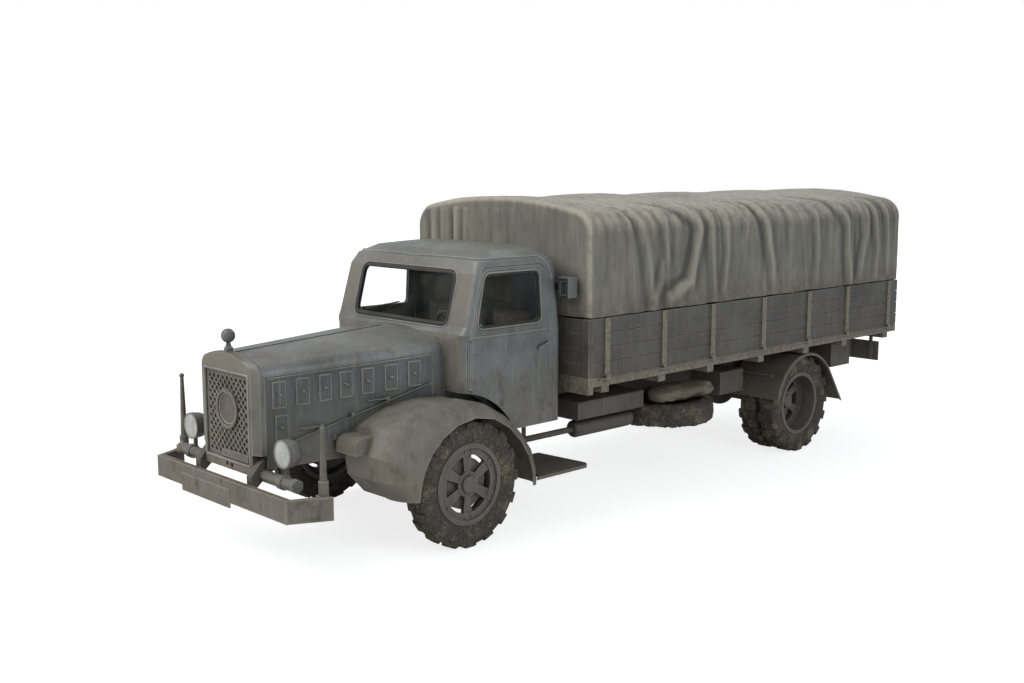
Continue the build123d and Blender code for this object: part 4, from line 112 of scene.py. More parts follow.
for name, spot, aim, size, power, tint in (
        ("lamp_front", (9, -2, 9), (0, 0, 1), 7, 900, (1, 0.98, 0.94)),
        ("lamp_side", (2, 11, 6), (0, 0, 1), 7, 420, (0.95, 0.98, 1)),
        ("lamp_rear", (-10, -3, 8), (0, 0, 1.5), 6, 320, (1, 1, 1))):
    glow = bpy.data.lights.new(name, "AREA")
    glow.size = size
    glow.energy = power
    glow.color = tint
    lamp = put(name, glow)
    lamp.location = spot
    lamp.rotation_euler = (Vector(aim) - Vector(spot)).to_track_quat("-Z", "Y").to_euler()

ground = mesh_of("floor", [(-60, -60, 0), (60, -60, 0), (60, 60, 0), (-60, 60, 0)], [(0, 1, 2, 3)])
floor = put("floor", ground)
pale = bpy.data.materials.new("pale_floor")
pale.use_nodes = True
tree = pale.node_tree
tree.nodes.clear()
seen = knot(tree, "LightPath").outputs
spot = knot(tree, "TexCoord").outputs["Object"]
away = knot(tree, "VectorMath", {0: spot}, operation="LENGTH").outputs["Value"]
fade = knot(tree, "MapRange", {0: away, 1: 4.5, 2: 9.0, 3: 0.62, 4: 1.0}).outputs[0]
share = knot(tree, "Math", {0: seen["Is Camera Ray"], 1: fade}, operation="MULTIPLY")
matt = knot(tree, "BsdfDiffuse", {"Color": (0.8, 0.8, 0.8, 1)})
bright = knot(tree, "Emission", {"Color": (1, 1, 1, 1), "Strength": 1.3})
both = knot(tree, "MixShader", {0: share.outputs[0], 1: matt.outputs[0], 2: bright.outputs[0]})
knot(tree, "OutputMaterial", {"Surface": both.outputs[0]})
ground.materials.append(pale)


# ---- frame, axles, springs and springs' hangers ----
# Pressed channel rails and forged axles in matt dark grey, brush painted and never cleaned:
# road dust lies on every upward face and the edges are rubbed pale, partly wear and partly
# painted highlight.
def new_finish(name):
    """A new material, its node tree, its shader and the coordinates of what it covers."""
    made = bpy.data.materials.new(name)
    made.use_nodes = True
    tree = made.node_tree
    return made, tree, tree.nodes["Principled BSDF"], knot(tree, "TexCoord").outputs


def blend(tree, factor, a, b, kind="MIX"):
    """Colour a turning into colour b with factor, or multiplied by it."""
    return knot(tree, "Mix", {0: factor, 6: a, 7: b}, data_type="RGBA", blend_type=kind).outputs[2]


def spread(tree, value, low, high, to_low=0.0, to_high=1.0):
    """A value mapped from one range to another, held at both ends."""
    return knot(tree, "MapRange", {0: value, 1: low, 2: high, 3: to_low, 4: to_high}).outputs[0]


def times(tree, a, b, operation="MULTIPLY"):
    """Two values multiplied, or combined as told."""
    return knot(tree, "Math", {0: a, 1: b}, operation=operation).outputs[0]


def grain(tree, place, scale, detail=4.0, rough=0.55, stretch=None):
    """Cloudy noise over the object's own space, stretched along an axis if asked."""
    if stretch:
        place = knot(tree, "Mapping", {"Vector": place, "Scale": stretch}).outputs[0]
    return knot(tree, "TexNoise", {"Vector": place, "Scale": scale, "Detail": detail,
                                             "Roughness": rough}).outputs[0]


def dot(tree, a, b):
    """How far two directions agree."""
    return knot(tree, "VectorMath", {0: a, 1: b}, operation="DOT_PRODUCT").outputs["Value"]


def openness(tree, reach, low, high, to_low, to_high):
    """How open the surface lies to what is within reach of it: low in seams, high on flat faces."""
    hollow = knot(tree, "AmbientOcclusion", {"Distance": reach}, samples=6)
    return spread(tree, hollow.outputs["AO"], low, high, to_low, to_high)


def lumpy(tree, height, strength, depth):
    """The direction of a surface whose small lumps follow height."""
    return knot(tree, "Bump", {"Height": height, "Strength": strength, "Distance": depth}).outputs[0]


def army_paint(name, base, worn, dust, dusty=(0.3, 1.5), most=0.7, least=0.12, edge=0.007,
               rust=0.0, rough=0.6, streak=0.25, bump=0.25, facing=0.0, inside=None, strap=None):
    """Matt field paint with blotches, streaks, dust, painted shade in seams and hollows, edges
    rubbed pale (partly wear, partly painted highlight) and rust.

    Dust thins from most to least between the two heights of dusty, and facing lays a paler tint
    on what looks ahead, partly dust and partly painted light. What looks towards the point
    inside is painted dark, as painted shade. What lies further out than strap's first number,
    or lower than its second, is steel in its colour.
    """
    made, tree, shader, own = new_finish(name)
    place = own["Object"]
    beside, height = knot(tree, "SeparateXYZ", {0: place}).outputs[1:]
    ways = knot(tree, "SeparateXYZ", {0: own["Normal"]}).outputs
    cloud = grain(tree, place, 1.6, 6, 0.6)
    patch = grain(tree, place, 7, 5, 0.62)
    fine = grain(tree, place, 60, 4, 0.6)
    run = grain(tree, place, 5, 4, 0.6, (6, 6, 0.5))
    dark = tuple(0.58 * c for c in base) + (1,)
    light = tuple(min(1, 1.32 * c) for c in base) + (1,)
    colour = blend(tree, spread(tree, cloud, 0.33, 0.67), dark, light)
    colour = blend(tree, times(tree, spread(tree, run, 0.52, 0.72), streak), colour, (*worn, 1))
    low = spread(tree, height, dusty[0], dusty[1], most, least)
    low = times(tree, low, spread(tree, patch, 0.3, 0.62, 0.35, 1.25))
    top = times(tree, spread(tree, ways["Z"], 0.35, 0.98), spread(tree, patch, 0.35, 0.65, 0.15, 0.6))
    colour = blend(tree, times(tree, low, top, "MAXIMUM"), colour, (*dust, 1))
    if facing:
        # a paler dust colour on what faces ahead: partly dust, partly painted light
        front_dust_and_light = times(tree, spread(tree, ways["X"], 0.80, 0.96), facing)
        front_dust_and_light = times(tree, front_dust_and_light, spread(tree, cloud, 0.3, 0.6, 0.6, 1.0))
        colour = blend(tree, front_dust_and_light, colour, (*(1.15 * c for c in dust), 1))
    if strap:
        across = knot(tree, "Math", {0: beside}, operation="ABSOLUTE").outputs[0]
        proud = times(tree, spread(tree, across, strap[0], strap[0] + 0.001),
                      spread(tree, height, strap[1] + 0.002, strap[1]), "MAXIMUM")
        proud = times(tree, proud, spread(tree, grain(tree, place, 30, 6, 0.75), 0.38, 0.55, 0.15, 1.0))
        colour = blend(tree, proud, colour, (*strap[2], 1))
    if rust:
        spots = times(tree, spread(tree, grain(tree, place, 8, 9, 0.74, (1, 1, 0.7)), 0.52, 0.66), rust)
        spots = times(tree, spots, spread(tree, height, dusty[1] + 0.15, dusty[0] + 0.35, 0.12, 1.0))
        colour = blend(tree, spots, colour, (0.062, 0.038, 0.021, 1))
    # painted shade: the colour is darkened where nearby surfaces close it in, in seams, hollows and under
    # parts
    colour = blend(tree, 1.0, colour, openness(tree, 0.11, 0.25, 0.85, 0.28, 1.0), "MULTIPLY")
    if inside:
        # painted shade: faces turned towards the point inside, such as the cab's inner walls, go nearly
        # black
        reach = knot(tree, "VectorMath", {0: place, 1: inside}, operation="SUBTRACT").outputs[0]
        inner_shade = spread(tree, dot(tree, reach, own["Normal"]), -0.05, -0.2)
        colour = blend(tree, inner_shade, colour, (0.022, 0.023, 0.023, 1))
    if edge:
        # edges rubbed pale: partly wear, partly painted highlight
        rounded = knot(tree, "Bevel", {"Radius": edge}, samples=4).outputs[0]
        turnover = dot(tree, rounded, knot(tree, "NewGeometry").outputs["Normal"])
        rubbed_and_highlit = spread(tree, turnover, 0.985, 0.86)
        rubbed_and_highlit = times(tree, rubbed_and_highlit, spread(tree, patch, 0.32, 0.55, 0.35, 0.95))
        colour = blend(tree, rubbed_and_highlit, colour, (*worn, 1))
    lumps = times(tree, fine, times(tree, patch, 1.5), "ADD")
    plug(tree, shader, {"Base Color": colour, "Specular IOR Level": 0.5,
                        "Roughness": spread(tree, patch, 0.3, 0.7, rough - 0.1, rough + 0.14),
                        "Normal": lumpy(tree, lumps, bump, 0.004)})
    return made


def finish_nodes(material, *names):
    """Gives these CAD pieces that finish."""
    for name in names:
        for socket in nodes[name].material_slots:
            socket.material = material


chassis_grey = army_paint(
    "chassis_grey", (0.040, 0.041, 0.039), (0.17, 0.15, 0.12), (0.115, 0.098, 0.074), (0.2, 1.1), 0.75,
    0.3)
finish_nodes(chassis_grey, "chassis_frame", "cross_members", "leaf_springs", "front_axle", "left_knuckle",
             "right_knuckle", "tie_rod", "rear_axle", "exhaust")


# ---- engine and radiator core ----
# Cast iron engine and gearbox bolted between the rails, and the finned core behind the grille,
# all sooty, oily and nearly black.
engine_black = army_paint(
    "engine_black", (0.022, 0.022, 0.022), (0.08, 0.075, 0.07), (0.06, 0.052, 0.042), (0.5, 1.4), 0.5,
    0.1, edge=0, streak=0.1)
finish_nodes(engine_black, "engine_block", "radiator_core")


# ---- tyres ----
# Moulded black rubber with deep block lugs, on the four wheels and the spare. Dried clay is
# packed in the tread and dusted over the walls.
tyre_rubber, tree, shader, own = new_finish("muddy_rubber")
patch = grain(tree, own["Object"], 8, 6, 0.68)
crumb = grain(tree, own["Object"], 45, 6, 0.7)
deep = openness(tree, 0.05, 0.35, 0.95, 1.0, 0.0)
rubber = blend(tree, spread(tree, crumb, 0.35, 0.65), (0.030, 0.028, 0.025, 1), (0.078, 0.071, 0.060, 1))
clay = blend(tree, spread(tree, crumb, 0.4, 0.6), (0.090, 0.070, 0.048, 1), (0.215, 0.165, 0.110, 1))
packed = times(tree, times(tree, deep, 0.30), spread(tree, patch, 0.46, 0.62), "ADD")
plug(tree, shader, {"Base Color": blend(tree, spread(tree, packed, 0.3, 1.1, 0.06, 0.9), rubber, clay),
                    "Roughness": 0.88, "Specular IOR Level": 0.25,
                    "Normal": lumpy(tree, times(tree, crumb, patch, "ADD"), 0.9, 0.014)})
finish_nodes(tyre_rubber, "front_left_tyre", "front_right_tyre", "rear_left_tyre", "rear_right_tyre",
             "spare_wheel")


# ---- wheels ----
# Cast six-spoke wheels in the body's grey under pale dust. Each rim is held at the spokes'
# ends by hexagon nuts on studs, and the hub cap by a ring of small bolts.
wheel_grey = army_paint(
    "wheel_grey", (0.062, 0.064, 0.062), (0.24, 0.215, 0.175), (0.145, 0.122, 0.094), (-1, 3), 0.4, 0.4,
    edge=0.009)
finish_nodes(wheel_grey, "front_left_wheel", "front_right_wheel", "rear_left_wheel", "rear_right_wheel")


def add_piece(name, mesh, material, body, smooth=True):
    """A finished piece that rides on a body."""
    mesh.materials.append(material)
    mesh.polygons.foreach_set("use_smooth", [smooth] * len(mesh.polygons))
    made = put(name, mesh)
    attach(made, body)
    return made


def add_nut(points, faces, spot, out, across, height, sides=6):
    """A chamfered nut or bolt head standing on spot, along out."""
    out = Vector(out).normalized()
    side = out.orthogonal().normalized()
    other = out.cross(side)
    first = len(points)
    washer, chamfer = 0.003, height * 0.75
    for reach, lift in ((1.35, -0.002), (1.35, washer), (1.0, washer), (1.0, chamfer), (0.8, height),
                        (0.35, height)):
        for k in range(sides):
            turned = 2 * pi * k / sides
            ray = side * cos(turned) + other * sin(turned)
            points.append(spot + ray * across * reach + out * lift)
    for ring in range(5):
        for k in range(sides):
            a, b = first + ring * sides + k, first + ring * sides + (k + 1) % sides
            faces.append((a, b, b + sides, a + sides))
    faces.append(tuple(range(first + 5 * sides, first + 6 * sides)))


AXLE_X, REAR_AXLE_X, AXLE_Z = 2.384, -2.216, 0.506
STUD_CIRCLE, CAP_CIRCLE = 0.262, 0.086
for wheel, wheel_x, face_y, side in (
        ("front_left", AXLE_X, 0.995, 1), ("front_right", AXLE_X, 0.995, -1),
        ("rear_left", REAR_AXLE_X, 0.824, 1), ("rear_right", REAR_AXLE_X, 0.824, -1)):
    points, faces = [], []
    for count, first, circle, offsets, across, height in (
            (6, 90, STUD_CIRCLE, (-0.030, 0.030), 0.013, 0.018), (8, 22.5, CAP_CIRCLE, (0,), 0.008, 0.012)):
        for k in range(count):
            turned = radians(first + 360 / count * k)
            for offset in offsets:
                spot = Vector((wheel_x + circle * cos(turned) - offset * sin(turned), side * face_y,
                               AXLE_Z + circle * sin(turned) + offset * cos(turned)))
                add_nut(points, faces, spot, (0, side, 0), across, height)
    add_piece(wheel + "_nuts", mesh_of(wheel + "_nuts", points, faces), wheel_grey, "wheel_" + wheel,
              smooth=False)


# ---- radiator shell, grille, bumper and headlamps ----
# The truck's pressed steel face takes the weather first: grey paint scoured to a sandy stone
# colour on the bumper and bars, and a lamp glass frosted by grit in each rim.
face_grey = army_paint(
    "scoured_grey", (0.086, 0.082, 0.070), (0.33, 0.30, 0.24), (0.150, 0.127, 0.094), (0.3, 1.5), 0.55,
    0.25, rust=1.0, edge=0.013)
finish_nodes(face_grey, "front_bumper", "radiator_grille")
shell_grey = army_paint(
    "shell_grey", (0.082, 0.090, 0.090), (0.30, 0.28, 0.235), (0.145, 0.124, 0.092), (0.3, 1.7), 0.30,
    0.05, rust=1.0, rough=0.46, edge=0.011, facing=0.85)
finish_nodes(shell_grey, "radiator_shell", "headlamps")

lamp_glass, tree, shader, own = new_finish("frosted_lens")
colour = blend(tree, spread(tree, grain(tree, own["Object"], 12, 5), 0.35, 0.7), (0.40, 0.41, 0.395, 1),
               (0.28, 0.275, 0.255, 1))
plug(tree, shader, {"Base Color": colour, "Roughness": 0.3})
finish_nodes(lamp_glass, "headlamp_lenses")


# ---- bonnet, cab and doors ----
# Pressed steel panels in blue-grey field paint, satin where rain washes them, a paler dust grey on
# what faces the road ahead (partly dust, partly painted light), painted shade on the faces inside
# the cab, and brown with weeping rust at the doors' feet.
body_grey = army_paint(
    "field_grey", (0.118, 0.128, 0.127), (0.31, 0.31, 0.285), (0.135, 0.118, 0.090), (0.75, 1.62), 0.6,
    0.03, rust=0.95, rough=0.36, edge=0.008, facing=0.78, inside=(1.75, 0, 1.6))
finish_nodes(body_grey, "hood_top_left", "hood_top_right", "cab_shell", "left_door", "right_door",
             "signal_boxes")
hood_grey = army_paint(
    "hood_grey", (0.070, 0.076, 0.076), (0.30, 0.295, 0.265), (0.105, 0.094, 0.075), (0.75, 1.4), 0.5,
    0.05, rust=0.5, rough=0.42, edge=0.007)
finish_nodes(hood_grey, "hood_sides")

window_glass, tree, shader, own = new_finish("window_glass")
colour = blend(tree, spread(tree, grain(tree, own["Object"], 4, 5), 0.4, 0.75), (0.10, 0.11, 0.11, 1),
               (0.32, 0.30, 0.26, 1))
film = spread(tree, grain(tree, own["Object"], 3, 6, 0.6), 0.35, 0.75, 0.02, 0.10)
plug(tree, shader, {"Base Color": colour, "Alpha": film, "Roughness": 0.05})
finish_nodes(window_glass, "cab_glass", "left_door_glass", "right_door_glass")


# ---- window rubbers, frames, mouldings and gutter ----
# Extruded black rubber holds each pane, and a pressed bead stands round it. A bead crosses
# each door under the window, and a rolled gutter runs round the roof above the doors. Beads
# and gutter are painted paler than the panels as a painted highlight along their crests.
black_rubber = army_paint(
    "black_rubber", (0.016, 0.016, 0.016), (0.07, 0.066, 0.06), (0.06, 0.054, 0.045), (0.5, 2.5), 0.25,
    0.2, rough=0.7, edge=0)
# trim paint paler than the body: a painted highlight on raised beads, rims, frames and buttons
highlight_trim = army_paint(
    "highlight_trim", (0.215, 0.215, 0.195), (0.38, 0.37, 0.33), (0.17, 0.15, 0.115), (0.5, 1.6), 0.4, 0.1,
    rough=0.5, edge=0)
graph = bpy.context.evaluated_depsgraph_get()
skins = {name: BVHTree.FromObject(nodes[name], graph)
         for name in ("cab_shell", "left_door", "right_door", "hood_sides", "hood_top_left",
                      "radiator_shell", "radiator_grille", "left_drop_side", "right_drop_side")}


def outline(corners, radius, gap=0.014):
    """A closed loop of 2-D points through rounded corners given anticlockwise."""
    loop, count = [], len(corners)
    for i in range(count):
        before, here, after = (Vector(corners[(i + k) % count]) for k in (-1, 0, 1))
        start = here + (before - here).normalized() * radius
        end = here + (after - here).normalized() * radius
        loop += [start.lerp(here, t / 8).lerp(here.lerp(end, t / 8), t / 8) for t in range(9)]
    dense = []
    for a, b in zip(loop, loop[1:] + loop[:1]):
        steps = max(1, round((b - a).length / gap))
        dense += [a.lerp(b, k / steps) for k in range(steps)]
    return dense


def rectangle(low_a, low_b, high_a, high_b):
    """Four corners, anticlockwise."""
    return (low_a, low_b), (high_a, low_b), (high_a, high_b), (low_a, high_b)


def grown(loop, out):
    """The loop moved outward."""
    moved = []
    for i, spot in enumerate(loop):
        along = (loop[(i + 2) % len(loop)] - loop[i - 2]).normalized()
        moved.append(spot + Vector((along.y, -along.x)) * out)
    return moved


def dropped(skin, spots, toward):
    """Where rays from the spots meet a CAD piece, and the smoothed directions out of it."""
    if isinstance(toward, tuple):
        toward = [Vector(toward)] * len(spots)
    places, outs = [], []
    for spot, way in zip(spots, toward):
        place, out = skins[skin].ray_cast(spot, way)[:2]
        if place is None:
            continue
        places.append(place)
        outs.append(out if out.dot(way) < 0 else -out)
    count = len(outs)
    return places, [sum((outs[(i + k) % count] for k in range(-4, 5)), Vector()).normalized()
                    for i in range(count)]


def on_side(skin, spots, way):
    """Where (x, z) spots fall on a panel from the truck's left, way 1, or its right, way -1."""
    return dropped(skin, [Vector((x, 2 * way, z)) for x, z in spots], (0, -way, 0))


def add_bar(points, faces, laid, profile, closed):
    """The profile's (across, out) points carried along the places laid, with their directions."""
    path, outs = laid
    first, size, count = len(points), len(profile), len(path)
    for i, (spot, out) in enumerate(zip(path, outs)):
        before = path[i - 1] if closed or i else spot
        after = path[(i + 1) % count] if closed or i < count - 1 else spot
        across = out.cross(after - before).normalized()
        points += [spot + across * a + out * b for a, b in profile]
    for i in range(count if closed else count - 1):
        for j in range(size):
            k, n = (j + 1) % size, (i + 1) % count * size
            faces.append(tuple(first + c for c in (i * size + j, i * size + k, n + k, n + j)))
    if not closed:
        faces += [tuple(first + j for j in range(size))[::-1],
                  tuple(first + (count - 1) * size + j for j in range(size))]


def sweep(name, laid, profile, closed, material, body="chassis"):
    """A moulding laid along a path, in the paler trim paint that carries a painted highlight or of black
    rubber.
    """
    points, faces = [], []
    add_bar(points, faces, laid, profile, closed)
    add_piece(name, mesh_of(name, points, faces), material, body)


def bead(half, rise, sink=0.003):
    """A half-round profile that reaches sink into the panel it lies on."""
    arc = [(half * cos(pi * k / 6), rise * sin(pi * k / 6)) for k in range(7)]
    return [(half, -sink), *arc, (-half, -sink)]


windscreen = outline(rectangle(-0.594, 1.716, 0.594, 2.098), 0.06)
for name, out, half, rise, finish in (("windscreen_rubber", 0.014, 0.018, 0.009, black_rubber),
                                      ("windscreen_lip", 0.037, 0.006, 0.008, highlight_trim)):
    laid = dropped("cab_shell", [Vector((3.6, *spot)) for spot in grown(windscreen, out)], (-1, 0, 0))
    sweep(name, laid, bead(half, rise), True, finish)
rear_pane = outline(((-0.3, 1.76), (-0.3, 2.05), (0.3, 2.05), (0.3, 1.76)), 0.05)
laid = dropped("cab_shell", [Vector((0.6, *spot)) for spot in grown(rear_pane, -0.010)], (1, 0, 0))
sweep("rear_pane_rubber", laid, bead(0.012, 0.008), True, black_rubber)

door_pane = outline(((1.479, 1.7), (2.152, 1.7), (2.050, 2.092), (1.479, 2.092)), 0.045)
BELT_FRONT, BELT_LENGTH, BELT_Z = AXLE_X - 0.152, 0.83, 1.620
for side, way in (("left", 1), ("right", -1)):
    for part, out, half, rise, finish in (("rubber", 0.006, 0.008, 0.004, black_rubber),
                                          ("frame", 0.022, 0.008, 0.010, highlight_trim),
                                          ("rim", 0.039, 0.004, 0.006, highlight_trim)):
        laid = on_side(side + "_door", grown(door_pane, out), way)
        sweep(f"{side}_window_{part}", laid, bead(half, rise), True, finish, "door_" + side)
    laid = on_side(side + "_door", [(BELT_FRONT - BELT_LENGTH * k / 40, BELT_Z) for k in range(41)], way)
    sweep(side + "_belt_bead", laid, bead(0.008, 0.008), False, highlight_trim, "door_" + side)

GUTTER_FOOT, GUTTER_KNEE, GUTTER_TOP = (Vector(c) for c in ((1.326, 2.02), (1.340, 2.19), (1.455, 2.218)))
GUTTER_RUN, GUTTER_HALF, GUTTER_ARCH = 0.5, 0.45, 0.006    # along the side, and round the front
spots, ways = [], []
for way in (1, -1):
    run = [GUTTER_FOOT.lerp(GUTTER_KNEE, t / 16).lerp(GUTTER_KNEE.lerp(GUTTER_TOP, t / 16), t / 16)
           for t in range(17)]
    run += [GUTTER_TOP + Vector((GUTTER_RUN * k / 24, 0)) for k in range(1, 25)]
    run = [(Vector((c.x, 2 * way, c.y)), Vector((0, -way, 0))) for c in run]
    for k in range(1, 31):
        turned = radians(90 * (1 - k / 30)) * way
        middle = Vector((GUTTER_TOP.x + GUTTER_RUN, GUTTER_HALF * way * (1 - k / 30),
                         GUTTER_TOP.y + GUTTER_ARCH * sin(pi * k / 30)))
        ray = Vector((cos(turned), sin(turned), 0))
        run.append((middle + ray * 2, -ray))
    run = run if way > 0 else run[-2::-1]
    spots += [spot for spot, toward in run]
    ways += [toward for spot, toward in run]
sweep("roof_gutter", dropped("cab_shell", spots, ways), bead(0.007, 0.010), False, highlight_trim)


# ---- bonnet trim and latches, grille surround and ring ----
# Each raised plate in the bonnet's side has a rolled rim and a steel turn button, a rolled bead
# ends the side panel, and a strip hinge runs down the bonnet's crown, coloured near black as
# painted shade along the joint. Pressed steel frames are welded round the grille's opening and
# on the grille itself. Rims, buttons, bead and frames are paler than the panels as a painted
# highlight.
HOOD_FRONT, HOOD_BACK = AXLE_X + 1.420, AXLE_X + 0.034
BEAD_FRONT, BEAD_Z, BEAD_RISE = 1.425, 1.444, (1.495 - 1.444) / (1.425 - 0.030)
PLATE_SPANS = ((1.378, 1.268), (1.193, 1.083), (1.008, 0.906), (0.838, 0.734), (0.657, 0.549),
               (0.459, 0.344), (0.256, 0.141))      # ahead of the front axle
PLATE_DROP, PLATE_HALF, RIM_INSET = 0.138, 0.100, 0.006


def bead_height(x):
    """Height of the joint between the bonnet's top and side."""
    return BEAD_Z + (AXLE_X + BEAD_FRONT - x) * BEAD_RISE


plates = [(AXLE_X + rear, AXLE_X + front, bead_height(AXLE_X + (front + rear) / 2) - PLATE_DROP, PLATE_HALF)
          for front, rear in PLATE_SPANS]
plates.append((AXLE_X + 1.2585, AXLE_X + 1.3615, 1.064, 0.095))     # the low plate at the front
seam = [HOOD_FRONT + (HOOD_BACK - HOOD_FRONT) * k / 60 for k in range(61)]
for side, way in (("left", 1), ("right", -1)):
    points, faces, buttons, button_faces = [], [], [], []
    for low_x, high_x, middle_z, half_z in plates:
        tall = half_z - RIM_INSET
        corners = rectangle(low_x + RIM_INSET, middle_z - tall, high_x - RIM_INSET, middle_z + tall)
        laid = on_side("hood_sides", outline(corners, 0.008, 0.02), way)
        add_bar(points, faces, laid, bead(0.004, 0.004), True)
        handle = [((low_x + high_x) / 2 + 0.007 * k, middle_z + 0.004 * k) for k in range(-3, 4)]
        laid = on_side("hood_sides", handle, way)
        add_bar(buttons, button_faces, laid, bead(0.005, 0.016), False)
        add_nut(buttons, button_faces, laid[0][3], laid[1][3], 0.009, 0.020, 8)
    laid = on_side("hood_sides", [(x, bead_height(x) - 0.010) for x in seam], way)
    add_bar(points, faces, laid, bead(0.005, 0.005), False)
    for name, shape in ((side + "_bonnet_rims", (points, faces)),
                        (side + "_turn_buttons", (buttons, button_faces))):
        add_piece(name, mesh_of(name, *shape), highlight_trim, "chassis")
crown = [Vector((place.x, 0, place.z))
         for place in dropped("hood_top_left", [Vector((x, 0.02, 3)) for x in seam], (0, 0, -1))[0]]
points, faces = [], []
add_bar(points, faces, (crown, [Vector((0, 0, 1))] * len(crown)), bead(0.007, 0.005), False)
# the steel hinge takes the near-black rubber finish as painted shade along the joint of the bonnet halves
add_piece("crown_hinge", mesh_of("crown_hinge", points, faces), black_rubber, "chassis")
SURROUND_Y, SURROUND_Z = 0.014, 0.012       # how far the frame stands outside the grille
RING_RADIUS, RING_Z = 0.117, 1.168
low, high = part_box("radiator_grille")
opening = outline(rectangle(low[1] - SURROUND_Y, low[2] - SURROUND_Z, high[1] + SURROUND_Y,
                            high[2] + SURROUND_Z), 0.015, 0.02)
ring = [(RING_RADIUS * cos(turned), RING_Z + RING_RADIUS * sin(turned))
        for turned in (2 * pi * k / 64 for k in range(64))]
for name, skin, loop, half, rise in (("grille_surround", "radiator_shell", opening, 0.009, 0.008),
                                     ("grille_ring", "radiator_grille", ring, 0.010, 0.009)):
    laid = dropped(skin, [Vector((4.2, *spot)) for spot in loop], (-1, 0, 0))
    sweep(name, laid, bead(half, rise), True, highlight_trim)


# ---- wiper ----
# One pressed steel wiper arm pivoted under the pane, with a thin rubber blade clamped across
# its end.
pivot, tip, pane_out = (Vector(c) for c in ((2.2645, -0.43, 1.738), (2.243, 0.0, 1.838), (0.97, 0, 0.24)))
for name, first, last, lift, half, rise in (("wiper_arm", 0, 9, 0.010, 0.006, 0.012),
                                            ("wiper_blade", 4, 13, 0.0, 0.003, 0.020)):
    path = [pivot.lerp(tip, k / 12) + pane_out * lift for k in range(first, last)]
    sweep(name, (path, [pane_out] * len(path)), bead(half, rise, 0.004), False, black_rubber)


# ---- seats and steering wheel ----
# Two spring-stuffed cushions with leather-cloth covers and sewn channels on low steel boxes,
# a single one for the driver and a double one, and a black moulded steering wheel.
seat_leather = army_paint(
    "seat_leather", (0.070, 0.062, 0.052), (0.15, 0.14, 0.12), (0.11, 0.10, 0.085), (0.5, 2.5), 0.3, 0.3,
    rough=0.62, edge=0)
rim_black = army_paint(
    "rim_black", (0.02, 0.02, 0.02), (0.06, 0.06, 0.055), (0.05, 0.045, 0.04), (0.5, 2.5), 0.2, 0.2,
    rough=0.5, edge=0)
finish_nodes(rim_black, "steering_wheel")
SEAT_PADS = (   # name, lowest and highest corner of its space, the thin direction, number of channels
    ("driver_cushion", (1.364, 0.160, 1.092), (1.844, 0.680, 1.212), 2, 5),
    ("driver_back", (1.294, 0.160, 1.212), (1.404, 0.680, 1.772), 0, 5),
    ("bench_cushion", (1.364, -0.710, 1.092), (1.844, 0.110, 1.212), 2, 8),
    ("bench_back", (1.294, -0.710, 1.212), (1.404, 0.110, 1.772), 0, 8))
PAD_INSET, PAD_SWELL, PAD_ROUND = 0.020, 0.026, 0.030
SEAM_WIDTH, SEAM_DEPTH = 0.009, 0.011


def soft_pad(name, low, high, thin, channels):
    """A stuffed pad blown up inside its cover, then sewn down in channels."""
    low, high = Vector(low), Vector(high)
    middle, size = (low + high) / 2, high - low - Vector((PAD_INSET,) * 3) * 2
    block = bmesh.new()
    bmesh.ops.create_cube(block, size=1)
    for vertex in block.verts:
        vertex.co = middle + Vector(vertex.co[k] * size[k] for k in range(3))
    bmesh.ops.bevel(block, geom=list(block.edges), offset=PAD_ROUND, segments=3, affect="EDGES", profile=0.5)
    mesh = bpy.data.meshes.new(name)
    block.to_mesh(mesh)
    block.free()
    made = put(name + "_draft", mesh)
    net = made.modifiers.new("net", "REMESH")
    net.mode = "VOXEL"
    net.voxel_size = 0.009
    mesh = bpy.data.meshes.new_from_object(made.evaluated_get(bpy.context.evaluated_depsgraph_get()))
    made.modifiers.clear()
    made.data = mesh
    start = np.array([v.co for v in mesh.vertices])
    cover = made.modifiers.new("cover", "CLOTH")
    cover.settings.use_pressure = True
    cover.settings.uniform_pressure_force = 4
    cover.settings.effector_weights.gravity = 0
    for step in range(1, 21):
        scene.frame_set(step)
    blown = made.evaluated_get(bpy.context.evaluated_depsgraph_get()).data
    moved = np.array([v.co for v in blown.vertices]) - start
    length = np.linalg.norm(moved, axis=1, keepdims=True)
    start = start + moved * np.minimum(1, PAD_SWELL / np.maximum(length, 1e-9))
    made.modifiers.clear()
    scene.frame_set(1)
    across = (start[:, 1] - low.y) / (high.y - low.y) * channels
    seam = np.round(across)
    off = np.abs(across - seam) * (high.y - low.y) / channels
    held = np.exp(-(off / SEAM_WIDTH) ** 2) * (seam > 0) * (seam < channels)
    start[:, thin] -= SEAM_DEPTH * held * np.sign(start[:, thin] - middle[thin])
    mesh.vertices.foreach_set("co", start.ravel())
    scene.collection.objects.unlink(made)
    bpy.data.objects.remove(made)
    pad = add_piece(name, mesh, seat_leather, "chassis")
    pad.modifiers.new("smoother", "SUBSURF").levels = 1
    pad.modifiers["smoother"].render_levels = 1
    return pad


